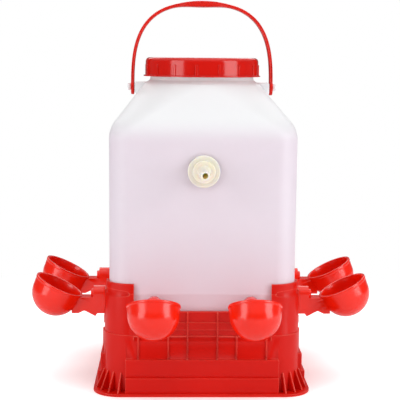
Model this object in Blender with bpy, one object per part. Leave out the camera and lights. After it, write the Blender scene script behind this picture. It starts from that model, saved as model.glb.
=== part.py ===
"""Poultry drinker: a square water jug that sits in a moulded stand, with drinking cups round its foot.

The jug is filled through its screw lid, or from a hose through the float valve in its front wall.
Water runs through a hollow stem into each cup, and a bird tips the small pin there to let it in.
Front is -Y and up is +Z. The origin is the middle of the stand's footprint, on the floor.
"""

import math

import bmesh
import bpy
from mathutils import Matrix, Vector

# Gaps between pieces
TOUCH = 0.0003
RUNNING = 0.0005

# Facets of round pieces
QUARTER_STEPS = 6
ROUND_STEPS = 20
SMALL_ROUND_STEPS = 10
NUT_STEPS = 12
SHARP_ANGLE = math.radians(35)

# Stand
SEAT_CLEARANCE = 0.001
STAND_UPPER_WALL = 0.0022
STAND_LOWER_WALL = 0.0025
POST_LEDGE = 0.0018
SEAM_STEP = 0.001
MIDDLE_TIER_STEP = 0.0035
BOTTOM_TIER_STEP = 0.0035
FLANGE_STEP = 0.004
FLANGE_CORNER = 0.030
FLANGE_HEIGHT = 0.003
BOTTOM_TIER_HEIGHT = 0.020
MIDDLE_TIER_HEIGHT = 0.0195
SHELF_HEIGHT = 0.070
SHELF_THICKNESS = 0.0025
SHELF_RIB_DEPTH = 0.008
SHELF_RIB_SPACING = 0.050
PANEL_HEIGHT = 0.0925
POST_HEIGHT = 0.112
COLLAR_HEIGHT = 0.1225
TIER_HALF_WIDTH = 0.084
WINDOW_HALF_WIDTH = 0.075
WINDOW_ROUND = 0.006
BAND_HEIGHT = 0.005
BAND_PROUD = 0.0012
BAND_LOW = 0.0665
BAND_HIGH = 0.0765
RIB_WIDTH = 0.0018
RIB_PROUD = 0.0025
RIB_PITCH = 0.0327
RIB_BAY = 0.0537
FIN_THICKNESS = 0.0016
FIN_HEIGHT = 0.024
FIN_REACH = 0.0105
FINS_PER_CORNER = 4
NOTCH_CLEARANCE = 0.0025

# Jug
JUG_WIDTH = 0.206
JUG_CORNER = 0.024
JUG_WALL = 0.0025
JUG_SIDE_HEIGHT = 0.209
JUG_BASE_ROUND = 0.008
SHOULDER_ROUND = 0.030
SHOULDER_SLOPE = math.radians(52)
NECK_RADIUS = 0.0595
NECK_SPREAD = 0.0065
NECK_STEP = 0.0045
NECK_HEIGHT = 0.0195

# Handle and the ears that carry it
EAR_PROUD = 0.0029
EAR_WIDTH = 0.020
EAR_TOP_BELOW_NECK = 0.003
EAR_FACE_HEIGHT = 0.0125
EAR_BURY = 0.0015
PIVOT_BELOW_NECK = 0.0085
STUD_RADIUS = 0.0029
STUD_HEAD_RADIUS = 0.0040
STUD_HEAD_LENGTH = 0.0035
STRAP_THICKNESS = 0.0037
STRAP_WIDTH = 0.013
STRAP_CHAMFER = 0.0009
EYE_RADIUS = 0.009
HANDLE_RISE = 0.0945
HANDLE_SQUARENESS = 2.7
HANDLE_STEPS = 26
GRIP_HALF_LENGTH = 0.036
GRIP_THICKNESS = 0.0068
GRIP_WIDTH = 0.022

# Lid
LID_WALL = 0.0020
LID_THREAD_ROOM = 0.0035
LID_TOP_THICKNESS = 0.0022
LID_DEPTH = 0.0215
LID_EDGE_ROUND = 0.003
LID_FLANGE_PROUD = 0.0023
LID_FLANGE_HEIGHT = 0.0014
LID_PANEL_RADIUS = 0.048
LID_PANEL_DEPTH = 0.0008
LID_GRIPS = 16
LID_GRIP_WIDTH = 0.0030
LID_GRIP_PROUD = 0.0009
LID_GRIP_HEIGHT = 0.0135
LID_GRIP_START = math.radians(15.75)
LID_STEPS = 32
LINER_THICKNESS = 0.0015
INNER_LID_FLANGE = 0.0012
INNER_LID_WALL = 0.0014
INNER_LID_DEPTH = 0.012
INNER_LID_TAB_LENGTH = 0.024
INNER_LID_TAB_HEIGHT = 0.007

# Cups
CUP_SPACING = 0.1056
STEM_ABOVE_BASE = 0.019
BOWL_REACH = 0.057
BOWL_RISE = 0.0219
BOWL_TILT = math.radians(26.5)
BOWL_RADIUS = 0.0273
BOWL_WALL = 0.0018
BOWL_STRAIGHT = 0.010
BOWL_LIP_PROUD = 0.0011
BOWL_LIP_HEIGHT = 0.0022
BOWL_STEPS = 18
BOWL_ARC_STEPS = 4
ARM_WIDTH = 0.0175
ARM_ABOVE_STEM = 0.0083
ARM_BELOW_STEM = 0.0100
HOOK_START = 0.0145
HOOK_TIP = 0.0169
HOOK_DEPTH = 0.0032
HOLLOW_REACH = 0.0292
HOLLOW_RISE = 0.0033
HEEL_REACH = 0.036
VALVE_BLOCK_START = 0.0053
VALVE_BLOCK_LENGTH = 0.0138
VALVE_BLOCK_RISE = 0.0117
SPIGOT_RADIUS = 0.005
SPIGOT_LENGTH = 0.003
CUP_WASHER_THICKNESS = 0.0018
CUP_WASHER_RADIUS = 0.0085
STEM_RADIUS = 0.0055
STEM_LENGTH = 0.013
STEM_BORE = 0.0020
CUP_NUT_RADIUS = 0.0105
CUP_NUT_HEIGHT = 0.006
CHAMBER_START = 0.012
CHAMBER_RADIUS = 0.0040
PIN_RADIUS = 0.0015
PIN_HEAD_RADIUS = 0.0030
PIN_HEAD_LENGTH = 0.0016
PIN_LENGTH = 0.036

# Float valve
INLET_ABOVE_BASE = 0.1754
INLET_STEPS = 16
INLET_WASHER_THICKNESS = 0.0018
INLET_WASHER_RADIUS = 0.0155
INLET_FLANGE_RADIUS = 0.0175
INLET_FLANGE_THICKNESS = 0.0036
INLET_RING_RADIUS = 0.0122
INLET_RING_LENGTH = 0.0035
INLET_EDGE_CHAMFER = 0.0008
NOZZLE_BASE_RADIUS = 0.0073
NOZZLE_TIP_RADIUS = 0.0049
NOZZLE_REACH = 0.0493
NOZZLE_BORE = 0.0030
INLET_SHANK_RADIUS = 0.0085
INLET_SHANK_LENGTH = 0.030
INLET_NUT_RADIUS = 0.0135
INLET_NUT_HEIGHT = 0.006
SEAT_DEPTH = 0.012
PISTON_CHAMBER_RADIUS = 0.0058
PISTON_RADIUS = 0.0052
PISTON_LENGTH = 0.008
PISTON_PAD_LENGTH = 0.0015
PISTON_ROD_RADIUS = 0.0016
CLEVIS_INNER_HALF = 0.0032
CLEVIS_THICKNESS = 0.0020
LEVER_PIVOT_BACK = 0.007
PIVOT_DROP = 0.006
CAM_RADIUS = 0.0018
CAM_FINGER_HALF = 0.0010
LEVER_THICKNESS = 0.004
LEVER_BOSS_RADIUS = 0.0030
LEVER_HEIGHT = 0.005
LEVER_LENGTH = 0.062
LEVER_PIN_RADIUS = 0.0012
FLOAT_DROOP = math.radians(30)
FLOAT_RADIUS = 0.018
FLOAT_LENGTH = 0.050
FLOAT_SOCKET_DEPTH = 0.012

# Places that follow from the sizes above
JUG_HALF = JUG_WIDTH / 2
JUG_BASE = SHELF_HEIGHT + TOUCH
SHOULDER_Z = JUG_BASE + JUG_SIDE_HEIGHT
SHOULDER_TURN = math.pi / 2 - SHOULDER_SLOPE
SLOPE_START_HALF = JUG_HALF - SHOULDER_ROUND * (1 - math.cos(SHOULDER_TURN))
SLOPE_START_Z = SHOULDER_Z + SHOULDER_ROUND * math.sin(SHOULDER_TURN)
SLOPE_END_HALF = NECK_RADIUS + NECK_SPREAD
SLOPE_END_Z = SLOPE_START_Z + (SLOPE_START_HALF - SLOPE_END_HALF) * math.tan(SHOULDER_SLOPE)
NECK_ROOT_Z = SLOPE_END_Z + NECK_STEP
NECK_TOP_Z = NECK_ROOT_Z + NECK_HEIGHT
PIVOT_Z = NECK_ROOT_Z - PIVOT_BELOW_NECK
EAR_TOP_Z = NECK_ROOT_Z - EAR_TOP_BELOW_NECK
EAR_FACE_LOW_Z = EAR_TOP_Z - EAR_FACE_HEIGHT
EAR_HALF_SPAN = SLOPE_START_HALF - (EAR_FACE_LOW_Z - SLOPE_START_Z) / math.tan(SHOULDER_SLOPE) + EAR_PROUD
STRAP_X = EAR_HALF_SPAN + RUNNING + STRAP_THICKNESS / 2
STEM_Z = JUG_BASE + STEM_ABOVE_BASE
INLET_Z = JUG_BASE + INLET_ABOVE_BASE
LID_RADIUS = NECK_RADIUS + LID_THREAD_ROOM + LID_WALL
CUP_FACE = TOUCH + CUP_WASHER_THICKNESS + TOUCH
SEAT_HALF = JUG_HALF + SEAT_CLEARANCE
SEAT_CORNER = JUG_CORNER + SEAT_CLEARANCE
COLLAR_HALF = SEAT_HALF + STAND_UPPER_WALL
POST_HALF = COLLAR_HALF + POST_LEDGE
BODY_HALF = POST_HALF + SEAM_STEP
MIDDLE_TIER_HALF = BODY_HALF + MIDDLE_TIER_STEP
BOTTOM_TIER_HALF = MIDDLE_TIER_HALF + BOTTOM_TIER_STEP
FLANGE_HALF = BOTTOM_TIER_HALF + FLANGE_STEP
MIDDLE_TIER_TOP = BOTTOM_TIER_HEIGHT + MIDDLE_TIER_HEIGHT
OVERRUN = 0.004
X_AXIS = Vector((1, 0, 0))
Y_AXIS = Vector((0, 1, 0))
Z_AXIS = Vector((0, 0, 1))


def solid(name, shell):
    """Turns a bmesh into an object in the scene."""
    mesh = bpy.data.meshes.new(name)
    bmesh.ops.recalc_face_normals(shell, faces=shell.faces)
    shell.to_mesh(mesh)
    shell.free()
    obj = bpy.data.objects.new(name, mesh)
    bpy.context.scene.collection.objects.link(obj)
    return obj


def finish(name, shell, colour, roughness, metallic=0.0):
    """Turns a bmesh into a named piece with its own material."""
    obj = solid(name, shell)
    paint(obj, colour, roughness, metallic)
    shade(obj)
    return obj


def paint(obj, colour, roughness, metallic=0.0):
    """Gives an object's mesh one Principled material named after the object."""
    material = bpy.data.materials.new(obj.name)
    material.use_nodes = True
    shader = material.node_tree.nodes["Principled BSDF"]
    shader.inputs["Base Color"].default_value = (*colour, 1)
    shader.inputs["Roughness"].default_value = roughness
    shader.inputs["Metallic"].default_value = metallic
    obj.data.materials.clear()
    obj.data.materials.append(material)


def shade(obj):
    """Shades a piece smooth, except at its real edges."""
    obj.data.shade_smooth()
    obj.data.set_sharp_from_angle(angle=SHARP_ANGLE)


def combine(obj, shell, operation):
    """Adds a bmesh solid to a piece, or cuts it away, and leaves one plain mesh."""
    tool = solid("tool", shell)
    modifier = obj.modifiers.new(operation, "BOOLEAN")
    modifier.operation = operation
    modifier.solver = "EXACT"
    modifier.object = tool
    graph = bpy.context.evaluated_depsgraph_get()
    mesh = bpy.data.meshes.new_from_object(obj.evaluated_get(graph))
    obj.modifiers.clear()
    material = obj.data.materials[0]
    obj.data = mesh
    mesh.name = obj.name
    mesh.materials.clear()
    mesh.materials.append(material)
    for polygon in mesh.polygons:
        polygon.material_index = 0
    bpy.data.objects.remove(tool)
    tidy = bmesh.new()
    tidy.from_mesh(mesh)
    bmesh.ops.remove_doubles(tidy, verts=tidy.verts, dist=1e-6)
    bmesh.ops.dissolve_limit(tidy, angle_limit=1e-4, verts=tidy.verts, edges=tidy.edges)
    tidy.to_mesh(mesh)
    tidy.free()
    shade(obj)


def add(obj, shell):
    """Joins a solid to a piece."""
    combine(obj, shell, "UNION")


def cut(obj, shell):
    """Cuts a solid out of a piece."""
    combine(obj, shell, "DIFFERENCE")


def box(low, high):
    """A box between two corners."""
    low, high = Vector(low), Vector(high)
    shell = bmesh.new()
    bmesh.ops.create_cube(shell, size=1)
    size = Matrix.Diagonal((*(high - low), 1))
    bmesh.ops.transform(shell, matrix=Matrix.Translation((low + high) / 2) @ size, verts=shell.verts)
    return shell


def arc(centre, radius, start, end, steps):
    """Points along an arc in a plane, both ends included."""
    points = []
    for step in range(steps + 1):
        angle = start + (end - start) * step / steps
        points.append((centre[0] + radius * math.cos(angle), centre[1] + radius * math.sin(angle)))
    return points


def prism(outline, direction, length):
    """Extrudes a closed outline of 3-D points along a direction."""
    shell = bmesh.new()
    face = shell.faces.new([shell.verts.new(point) for point in outline])
    grown = bmesh.ops.extrude_face_region(shell, geom=[face])
    moved = [item for item in grown["geom"] if isinstance(item, bmesh.types.BMVert)]
    bmesh.ops.translate(shell, vec=Vector(direction) * length, verts=moved)
    return shell


def turned(profile, steps, matrix=Matrix()):
    """Spins a profile of (radius, height) points round Z; a profile off the axis is a closed loop."""
    shell = bmesh.new()
    verts = [shell.verts.new((radius, 0, height)) for radius, height in profile]
    on_axis = profile[0][0] == 0 and profile[-1][0] == 0
    pairs = list(zip(verts, verts[1:]))
    if not on_axis:
        pairs.append((verts[-1], verts[0]))
    edges = [shell.edges.new(pair) for pair in pairs]
    bmesh.ops.spin(shell, geom=verts + edges, cent=(0, 0, 0), axis=(0, 0, 1), angle=math.tau,
                   steps=steps, use_merge=True)
    bmesh.ops.remove_doubles(shell, verts=shell.verts, dist=1e-6)
    bmesh.ops.recalc_face_normals(shell, faces=shell.faces)
    bmesh.ops.transform(shell, matrix=matrix, verts=shell.verts)
    return shell


def rod(start, end, radius, steps):
    """A round bar from one point to another."""
    start, end = Vector(start), Vector(end)
    along = end - start
    turn = along.to_track_quat("Z", "Y").to_matrix().to_4x4()
    profile = [(0, 0), (radius, 0), (radius, along.length), (0, along.length)]
    return turned(profile, steps, Matrix.Translation(start) @ turn)


def tube(start, end, outer, inner, steps):
    """A round ring or sleeve from one point to another."""
    start, end = Vector(start), Vector(end)
    along = end - start
    turn = along.to_track_quat("Z", "Y").to_matrix().to_4x4()
    profile = [(inner, 0), (outer, 0), (outer, along.length), (inner, along.length)]
    return turned(profile, steps, Matrix.Translation(start) @ turn)


def nut(start, end, corner_radius, bore):
    """A hexagon nut from one point to another, whose bore's flats lie at the given radius."""
    start, end = Vector(start), Vector(end)
    along = end - start
    turn = Matrix.Translation(start) @ along.to_track_quat("Z", "Y").to_matrix().to_4x4()
    shell = bmesh.new()
    bore_reach = bore / math.cos(math.pi / NUT_STEPS)
    reaches = (bore_reach, bore_reach), (corner_radius, corner_radius * math.cos(math.pi / 6))
    rings = []
    for ring_reaches, height in zip((*reaches, *reversed(reaches)), (0, 0, along.length, along.length)):
        ring = []
        for step in range(NUT_STEPS):
            angle = math.tau * step / NUT_STEPS
            reach = ring_reaches[step % 2]
            ring.append(shell.verts.new((reach * math.cos(angle), reach * math.sin(angle), height)))
        rings.append(ring)
    skin(shell, rings, closed=True)
    bmesh.ops.transform(shell, matrix=turn, verts=shell.verts)
    return shell


def skin(shell, rings, closed):
    """Joins rings of equal length with faces; closed also joins the last to the first."""
    pairs = list(zip(rings, rings[1:]))
    if closed:
        pairs.append((rings[-1], rings[0]))
    for low, high in pairs:
        count = len(low)
        for step in range(count):
            after = (step + 1) % count
            shell.faces.new((low[step], low[after], high[after], high[step]))


def rounded_square(half, corner, height):
    """Points round a square with rounded corners, whose flats lie exactly at the half width."""
    points = []
    circumscribed = corner / math.cos(math.pi / 4 / QUARTER_STEPS)
    for quarter in range(4):
        start = math.pi / 2 * quarter
        centre = Vector((half - corner, half - corner)) @ Matrix.Rotation(-start, 2)
        for step in range(QUARTER_STEPS):
            angle = start + math.pi / 2 * (step + 0.5) / QUARTER_STEPS
            arm = Vector((math.cos(angle), math.sin(angle))) * circumscribed
            points.append((centre.x + arm.x, centre.y + arm.y, height))
    return points


def stack(rings):
    """A closed solid through rounded squares given as (half width, height, corner radius)."""
    shell = bmesh.new()
    loops = []
    for half, height, corner in rings:
        loops.append([shell.verts.new(point) for point in rounded_square(half, corner, height)])
    skin(shell, loops, closed=False)
    shell.faces.new(reversed(loops[0]))
    shell.faces.new(loops[-1])
    return shell


def block(half, corner, low, high):
    """An upright block with rounded corners, centred on the drinker's axis."""
    return stack([(half, low, corner), (half, high, corner)])


def merged(*shells):
    """Copies solids that don't touch each other into one bmesh."""
    whole = bmesh.new()
    for shell in shells:
        mesh = bpy.data.meshes.new("merged")
        shell.to_mesh(mesh)
        shell.free()
        whole.from_mesh(mesh)
        bpy.data.meshes.remove(mesh)
    return whole


def turned_about(shell, angle):
    """Turns a solid about the drinker's upright axis."""
    bmesh.ops.rotate(shell, cent=(0, 0, 0), matrix=Matrix.Rotation(angle, 3, "Z"), verts=shell.verts)
    return shell


def offset_left(points, distance):
    """Moves a line of points to its left by a distance, with its corners mitred."""
    moved = []
    for index, point in enumerate(points):
        before = points[max(index - 1, 0)]
        after = points[min(index + 1, len(points) - 1)]
        into = (point - before).normalized() if index else (after - point).normalized()
        out = (after - point).normalized() if index < len(points) - 1 else into
        left_in = Vector((-into.y, into.x))
        left_out = Vector((-out.y, out.x))
        mitre = (left_in + left_out).normalized()
        moved.append(point + mitre * (distance / mitre.dot(left_in)))
    return moved


def set_origin(obj, point):
    """Puts an object's origin on its joint's axis without moving its shape."""
    obj.data.transform(Matrix.Translation(-Vector(point)))
    obj.location = point


def attach(child, parent):
    """Makes one piece follow another without moving it."""
    bpy.context.view_layer.update()
    world = child.matrix_world.copy()
    child.parent = parent
    child.matrix_parent_inverse = parent.matrix_world.inverted()
    child.matrix_world = world


RED_SATIN = (0.58, 0.018, 0.012)
RED_GLOSS = (0.82, 0.020, 0.006)
WHITE_JUG = (0.80, 0.76, 0.80)
IVORY = (0.86, 0.80, 0.62)
RUBBER = (0.03, 0.03, 0.03)
NATURAL = (0.85, 0.85, 0.83)
STEEL = (0.62, 0.61, 0.60)


def jug_corner_at(half):
    """Corner radius on the shoulder: it grows to a full round where the shoulder meets the neck."""
    share = (JUG_HALF - half) / (JUG_HALF - SLOPE_END_HALF)
    return JUG_CORNER + (SLOPE_END_HALF - JUG_CORNER) * max(share, 0)


def jug_outline():
    """The jug's outer face from base to mouth, as (half width, height) points and corner radii."""
    points = []
    corners = []
    for step in range(4):
        turn = math.pi / 2 * step / 3
        inset = JUG_BASE_ROUND * (1 - math.sin(turn))
        points.append(Vector((JUG_HALF - inset, JUG_BASE + JUG_BASE_ROUND * (1 - math.cos(turn)))))
        corners.append(JUG_CORNER - inset)
    for step in range(5):
        turn = SHOULDER_TURN * step / 4
        half = JUG_HALF - SHOULDER_ROUND * (1 - math.cos(turn))
        points.append(Vector((half, SHOULDER_Z + SHOULDER_ROUND * math.sin(turn))))
        corners.append(jug_corner_at(half))
    for step in range(1, 5):
        half = SLOPE_START_HALF + (SLOPE_END_HALF - SLOPE_START_HALF) * step / 4
        height = SLOPE_START_Z + (SLOPE_END_Z - SLOPE_START_Z) * step / 4
        points.append(Vector((half, height)))
        corners.append(jug_corner_at(half))
    for height in (NECK_ROOT_Z, NECK_TOP_Z):
        points.append(Vector((NECK_RADIUS, height)))
        corners.append(NECK_RADIUS)
    return points, corners


def shoulder_half(height):
    """Half width of the jug's straight shoulder at a height."""
    return SLOPE_START_HALF - (height - SLOPE_START_Z) / math.tan(SHOULDER_SLOPE)


def make_jug():
    """Blow-moulded jug: walls of even thickness, two ears with studs, and holes for the fittings."""
    points, corners = jug_outline()
    base_centre = Vector((0, JUG_BASE))
    inner = offset_left([base_centre] + points, JUG_WALL)[1:]
    rings = []
    for point, corner in zip(points, corners):
        rings.append((point.x, point.y, corner))
    for outer_point, corner, point in reversed(list(zip(points, corners, inner))):
        rings.append((point.x, point.y, corner - (outer_point.x - point.x)))
    jug = finish("jug", stack(rings), WHITE_JUG, 0.4)
    foot = EAR_FACE_LOW_Z - EAR_PROUD / 2
    for side in (-1, 1):
        outline = [
            (shoulder_half(EAR_TOP_Z) - EAR_BURY, EAR_TOP_Z),
            (EAR_HALF_SPAN, EAR_TOP_Z),
            (EAR_HALF_SPAN, EAR_FACE_LOW_Z),
            (shoulder_half(foot) - EAR_BURY, foot),
        ]
        corners_3d = [(side * x, -EAR_WIDTH / 2, z) for x, z in outline]
        add(jug, prism(corners_3d, Y_AXIS, EAR_WIDTH))
        head = EAR_HALF_SPAN + RUNNING + STRAP_THICKNESS + RUNNING
        stud = [(0, -EAR_BURY), (STUD_RADIUS, -EAR_BURY), (STUD_RADIUS, head - EAR_HALF_SPAN)]
        stud += [(STUD_HEAD_RADIUS, head - EAR_HALF_SPAN)]
        tip = head - EAR_HALF_SPAN + STUD_HEAD_LENGTH
        stud += [(STUD_HEAD_RADIUS, tip - STUD_HEAD_LENGTH / 3), (STUD_RADIUS, tip), (0, tip)]
        place = Matrix.Translation((side * EAR_HALF_SPAN, 0, PIVOT_Z))
        place = place @ Matrix.Rotation(side * math.pi / 2, 4, "Y")
        add(jug, turned(stud, SMALL_ROUND_STEPS, place))
    inside = JUG_HALF - JUG_WALL - OVERRUN
    outside = JUG_HALF + OVERRUN
    stem_hole = STEM_RADIUS + RUNNING
    for angle, across in cup_places():
        hole = rod((inside, across, STEM_Z), (outside, across, STEM_Z), stem_hole, SMALL_ROUND_STEPS)
        cut(jug, turned_about(hole, angle))
    cut(jug, rod((0, -inside, INLET_Z), (0, -outside, INLET_Z), INLET_SHANK_RADIUS + RUNNING, INLET_STEPS))
    return jug


def cup_places():
    """Turn about the upright axis, from +X, and sideways place of each cup's stem."""
    pair = (-CUP_SPACING / 2, CUP_SPACING / 2)
    return [(math.pi / 2 * side, across) for side in range(4) for across in pair]


def wall_block(half, low, high):
    """A block whose rounded corners follow the corners of the jug's seat."""
    return block(half, SEAT_CORNER + half - SEAT_HALF, low, high)


def make_stand():
    """Injection-moulded stand: stepped hollow foot, shelf, corner collars and cup notches."""
    stand = finish("stand", block(FLANGE_HALF, FLANGE_CORNER, 0, FLANGE_HEIGHT), RED_SATIN, 0.35)
    add(stand, wall_block(BODY_HALF, 0, SHELF_HEIGHT))
    add(stand, wall_block(POST_HALF, SHELF_HEIGHT - OVERRUN, POST_HEIGHT))
    add(stand, wall_block(COLLAR_HALF, POST_HEIGHT - OVERRUN, COLLAR_HEIGHT))
    tiers = ((BOTTOM_TIER_HALF, BOTTOM_TIER_HEIGHT), (MIDDLE_TIER_HALF, MIDDLE_TIER_TOP))
    for half, top in tiers:
        for angle in (0, math.pi / 2):
            add(stand, turned_about(box((-half, -TIER_HALF_WIDTH, 0), (half, TIER_HALF_WIDTH, top)), angle))
    fin_root = SEAT_HALF - SEAT_CORNER
    for quarter in range(4):
        turn = math.pi / 2 * quarter
        for low in (BAND_LOW, BAND_HIGH):
            band = box((POST_HALF - OVERRUN / 2, -WINDOW_HALF_WIDTH, low),
                       (POST_HALF + BAND_PROUD, WINDOW_HALF_WIDTH, low + BAND_HEIGHT))
            add(stand, turned_about(band, turn))
        for middle in (-RIB_BAY, 0, RIB_BAY):
            top = BAND_LOW if middle else PANEL_HEIGHT
            for side in (-0.5, 0.5):
                across = middle + side * RIB_PITCH
                rib = box((POST_HALF - OVERRUN / 2, across - RIB_WIDTH / 2, MIDDLE_TIER_TOP - OVERRUN),
                          (POST_HALF + RIB_PROUD, across + RIB_WIDTH / 2, top))
                add(stand, turned_about(rib, turn))
        for number in range(FINS_PER_CORNER):
            angle = math.pi / 2 * (number + 0.5) / FINS_PER_CORNER
            inner = BODY_HALF - fin_root - STAND_LOWER_WALL / 2
            outer = BODY_HALF - fin_root + FIN_REACH
            outline = [(inner, FLANGE_HEIGHT / 2), (inner, FIN_HEIGHT),
                       (inner + STAND_LOWER_WALL, FIN_HEIGHT), (outer, FLANGE_HEIGHT),
                       (outer, FLANGE_HEIGHT / 2)]
            place = Matrix.Translation((fin_root, fin_root, 0)) @ Matrix.Rotation(angle, 4, "Z")
            fin = prism([(x, -FIN_THICKNESS / 2, z) for x, z in outline], Y_AXIS, FIN_THICKNESS)
            bmesh.ops.transform(fin, matrix=place, verts=fin.verts)
            add(stand, turned_about(fin, turn))
    cut(stand, wall_block(SEAT_HALF, SHELF_HEIGHT, COLLAR_HEIGHT + OVERRUN))
    inner_half = BODY_HALF - STAND_LOWER_WALL
    shelf_low = SHELF_HEIGHT - SHELF_THICKNESS
    cut(stand, wall_block(inner_half, -OVERRUN, shelf_low))
    for half, top in tiers:
        for angle in (0, math.pi / 2):
            wall = STAND_LOWER_WALL
            hollow = box((-half + wall, -TIER_HALF_WIDTH + wall, -OVERRUN),
                         (half - wall, TIER_HALF_WIDTH - wall, top - wall))
            cut(stand, turned_about(hollow, angle))
    for angle in (0, math.pi / 2):
        cut(stand, turned_about(window_cutter(), angle))
        for across in (-CUP_SPACING / 2, CUP_SPACING / 2):
            cut(stand, turned_about(notch_cutter(across), angle))
        for number in (-1, 0, 1):
            across = number * SHELF_RIB_SPACING
            end = inner_half + STAND_LOWER_WALL / 2
            rib = box((-end, across - RIB_WIDTH / 2, shelf_low - SHELF_RIB_DEPTH),
                      (end, across + RIB_WIDTH / 2, shelf_low + SHELF_THICKNESS / 2))
            add(stand, turned_about(rib, angle))
    return stand


def window_cutter():
    """The open bay between two corner collars, with its lower corners rounded."""
    outline = [(WINDOW_HALF_WIDTH, COLLAR_HEIGHT + OVERRUN), (-WINDOW_HALF_WIDTH, COLLAR_HEIGHT + OVERRUN)]
    for side, start in ((-1, math.pi), (1, math.pi * 3 / 2)):
        centre = (side * (WINDOW_HALF_WIDTH - WINDOW_ROUND), PANEL_HEIGHT + WINDOW_ROUND)
        outline += arc(centre, WINDOW_ROUND, start, start + math.pi / 2, 3)
    reach = FLANGE_HALF + OVERRUN
    return prism([(-reach, y, z) for y, z in outline], X_AXIS, 2 * reach)


def notch_cutter(across):
    """The open-topped notch that a cup's arm drops into."""
    half = ARM_WIDTH / 2 + NOTCH_CLEARANCE
    low = STEM_Z - ARM_BELOW_STEM - NOTCH_CLEARANCE / 2
    chamfer = half / 3
    outline = [(half, COLLAR_HEIGHT + OVERRUN), (-half, COLLAR_HEIGHT + OVERRUN), (-half, low + chamfer),
               (-half + chamfer, low), (half - chamfer, low), (half, low + chamfer)]
    reach = FLANGE_HALF + OVERRUN
    return prism([(-reach, across + y, z) for y, z in outline], X_AXIS, 2 * reach)


def strap_section(thickness, width):
    """Outline of the strap across its length, as (sideways, outward) points with cut corners."""
    side, face = width / 2, thickness / 2
    near_side, near_face = side - STRAP_CHAMFER, face - STRAP_CHAMFER
    return [(-side, -near_face), (-near_side, -face), (near_side, -face), (side, -near_face),
            (side, near_face), (near_side, face), (-near_side, face), (-side, near_face)]


def make_handle():
    """Carrying bail: a flat strap with a thicker grip, and an eye on each ear's stud."""
    shell = bmesh.new()
    rings = []
    power = 2 / HANDLE_SQUARENESS
    for step in range(HANDLE_STEPS + 1):
        angle = math.pi * (step / HANDLE_STEPS - 0.5)
        sine, cosine = math.sin(angle), max(math.cos(angle), 0)
        x = STRAP_X * math.copysign(abs(sine) ** power, sine)
        z = HANDLE_RISE * cosine ** power if cosine > 1e-9 else 0
        slope_x = math.copysign(abs(sine) ** (2 - power), sine) / STRAP_X
        normal = Vector((slope_x, cosine ** (2 - power) / HANDLE_RISE)).normalized()
        share = max(1 - abs(x) / GRIP_HALF_LENGTH, 0)
        swell = math.sin(share * math.pi / 2) ** 2
        thickness = STRAP_THICKNESS + (GRIP_THICKNESS - STRAP_THICKNESS) * swell
        width = STRAP_WIDTH + (GRIP_WIDTH - STRAP_WIDTH) * min(swell * 2, 1)
        ring = []
        for across, outward in strap_section(thickness, width):
            height = PIVOT_Z + z + normal.y * outward
            ring.append(shell.verts.new((x + normal.x * outward, across, height)))
        rings.append(ring)
    skin(shell, rings, closed=False)
    shell.faces.new(reversed(rings[0]))
    shell.faces.new(rings[-1])
    handle = finish("handle", shell, RED_GLOSS, 0.3)
    for side in (-1, 1):
        inner = (side * (STRAP_X - STRAP_THICKNESS / 2), 0, PIVOT_Z)
        outer = (side * (STRAP_X + STRAP_THICKNESS / 2), 0, PIVOT_Z)
        add(handle, rod(inner, outer, EYE_RADIUS, ROUND_STEPS))
    for side in (-1, 1):
        inner = (side * (STRAP_X - STRAP_THICKNESS), 0, PIVOT_Z)
        outer = (side * (STRAP_X + STRAP_THICKNESS), 0, PIVOT_Z)
        cut(handle, rod(inner, outer, STUD_RADIUS + RUNNING, SMALL_ROUND_STEPS))
    set_origin(handle, (0, 0, PIVOT_Z))
    return handle


INNER_LID_LOW = NECK_TOP_Z + TOUCH
LINER_LOW = INNER_LID_LOW + INNER_LID_FLANGE + TOUCH
LID_UNDERSIDE = LINER_LOW + LINER_THICKNESS + TOUCH
LID_TOP_Z = LID_UNDERSIDE + LID_TOP_THICKNESS
LID_BOTTOM_Z = LID_TOP_Z - LID_DEPTH


def make_lid():
    """Screw lid: a ribbed skirt with a thin flange at its foot and a shallow panel on top."""
    profile = [(0, LID_TOP_Z - LID_PANEL_DEPTH), (LID_PANEL_RADIUS, LID_TOP_Z - LID_PANEL_DEPTH)]
    profile.append((LID_PANEL_RADIUS + LID_PANEL_DEPTH, LID_TOP_Z))
    for step in range(4):
        turn = math.pi / 2 * step / 3
        radius = LID_RADIUS - LID_EDGE_ROUND * (1 - math.sin(turn))
        profile.append((radius, LID_TOP_Z - LID_EDGE_ROUND * (1 - math.cos(turn))))
    flange_top = LID_BOTTOM_Z + LID_FLANGE_HEIGHT
    profile += [(LID_RADIUS, flange_top), (LID_RADIUS + LID_FLANGE_PROUD, flange_top)]
    profile += [(LID_RADIUS + LID_FLANGE_PROUD, LID_BOTTOM_Z), (LID_RADIUS - LID_WALL, LID_BOTTOM_Z)]
    profile += [(LID_RADIUS - LID_WALL, LID_UNDERSIDE), (0, LID_UNDERSIDE)]
    lid = finish("lid_cap", turned(profile, LID_STEPS), RED_GLOSS, 0.15)
    grips = []
    for number in range(LID_GRIPS):
        grip = box((LID_RADIUS - LID_WALL / 2, -LID_GRIP_WIDTH / 2, LID_BOTTOM_Z + LID_FLANGE_HEIGHT / 2),
                   (LID_RADIUS + LID_GRIP_PROUD, LID_GRIP_WIDTH / 2, LID_BOTTOM_Z + LID_GRIP_HEIGHT))
        grips.append(turned_about(grip, LID_GRIP_START + math.tau * number / LID_GRIPS))
    add(lid, merged(*grips))
    return lid


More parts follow.
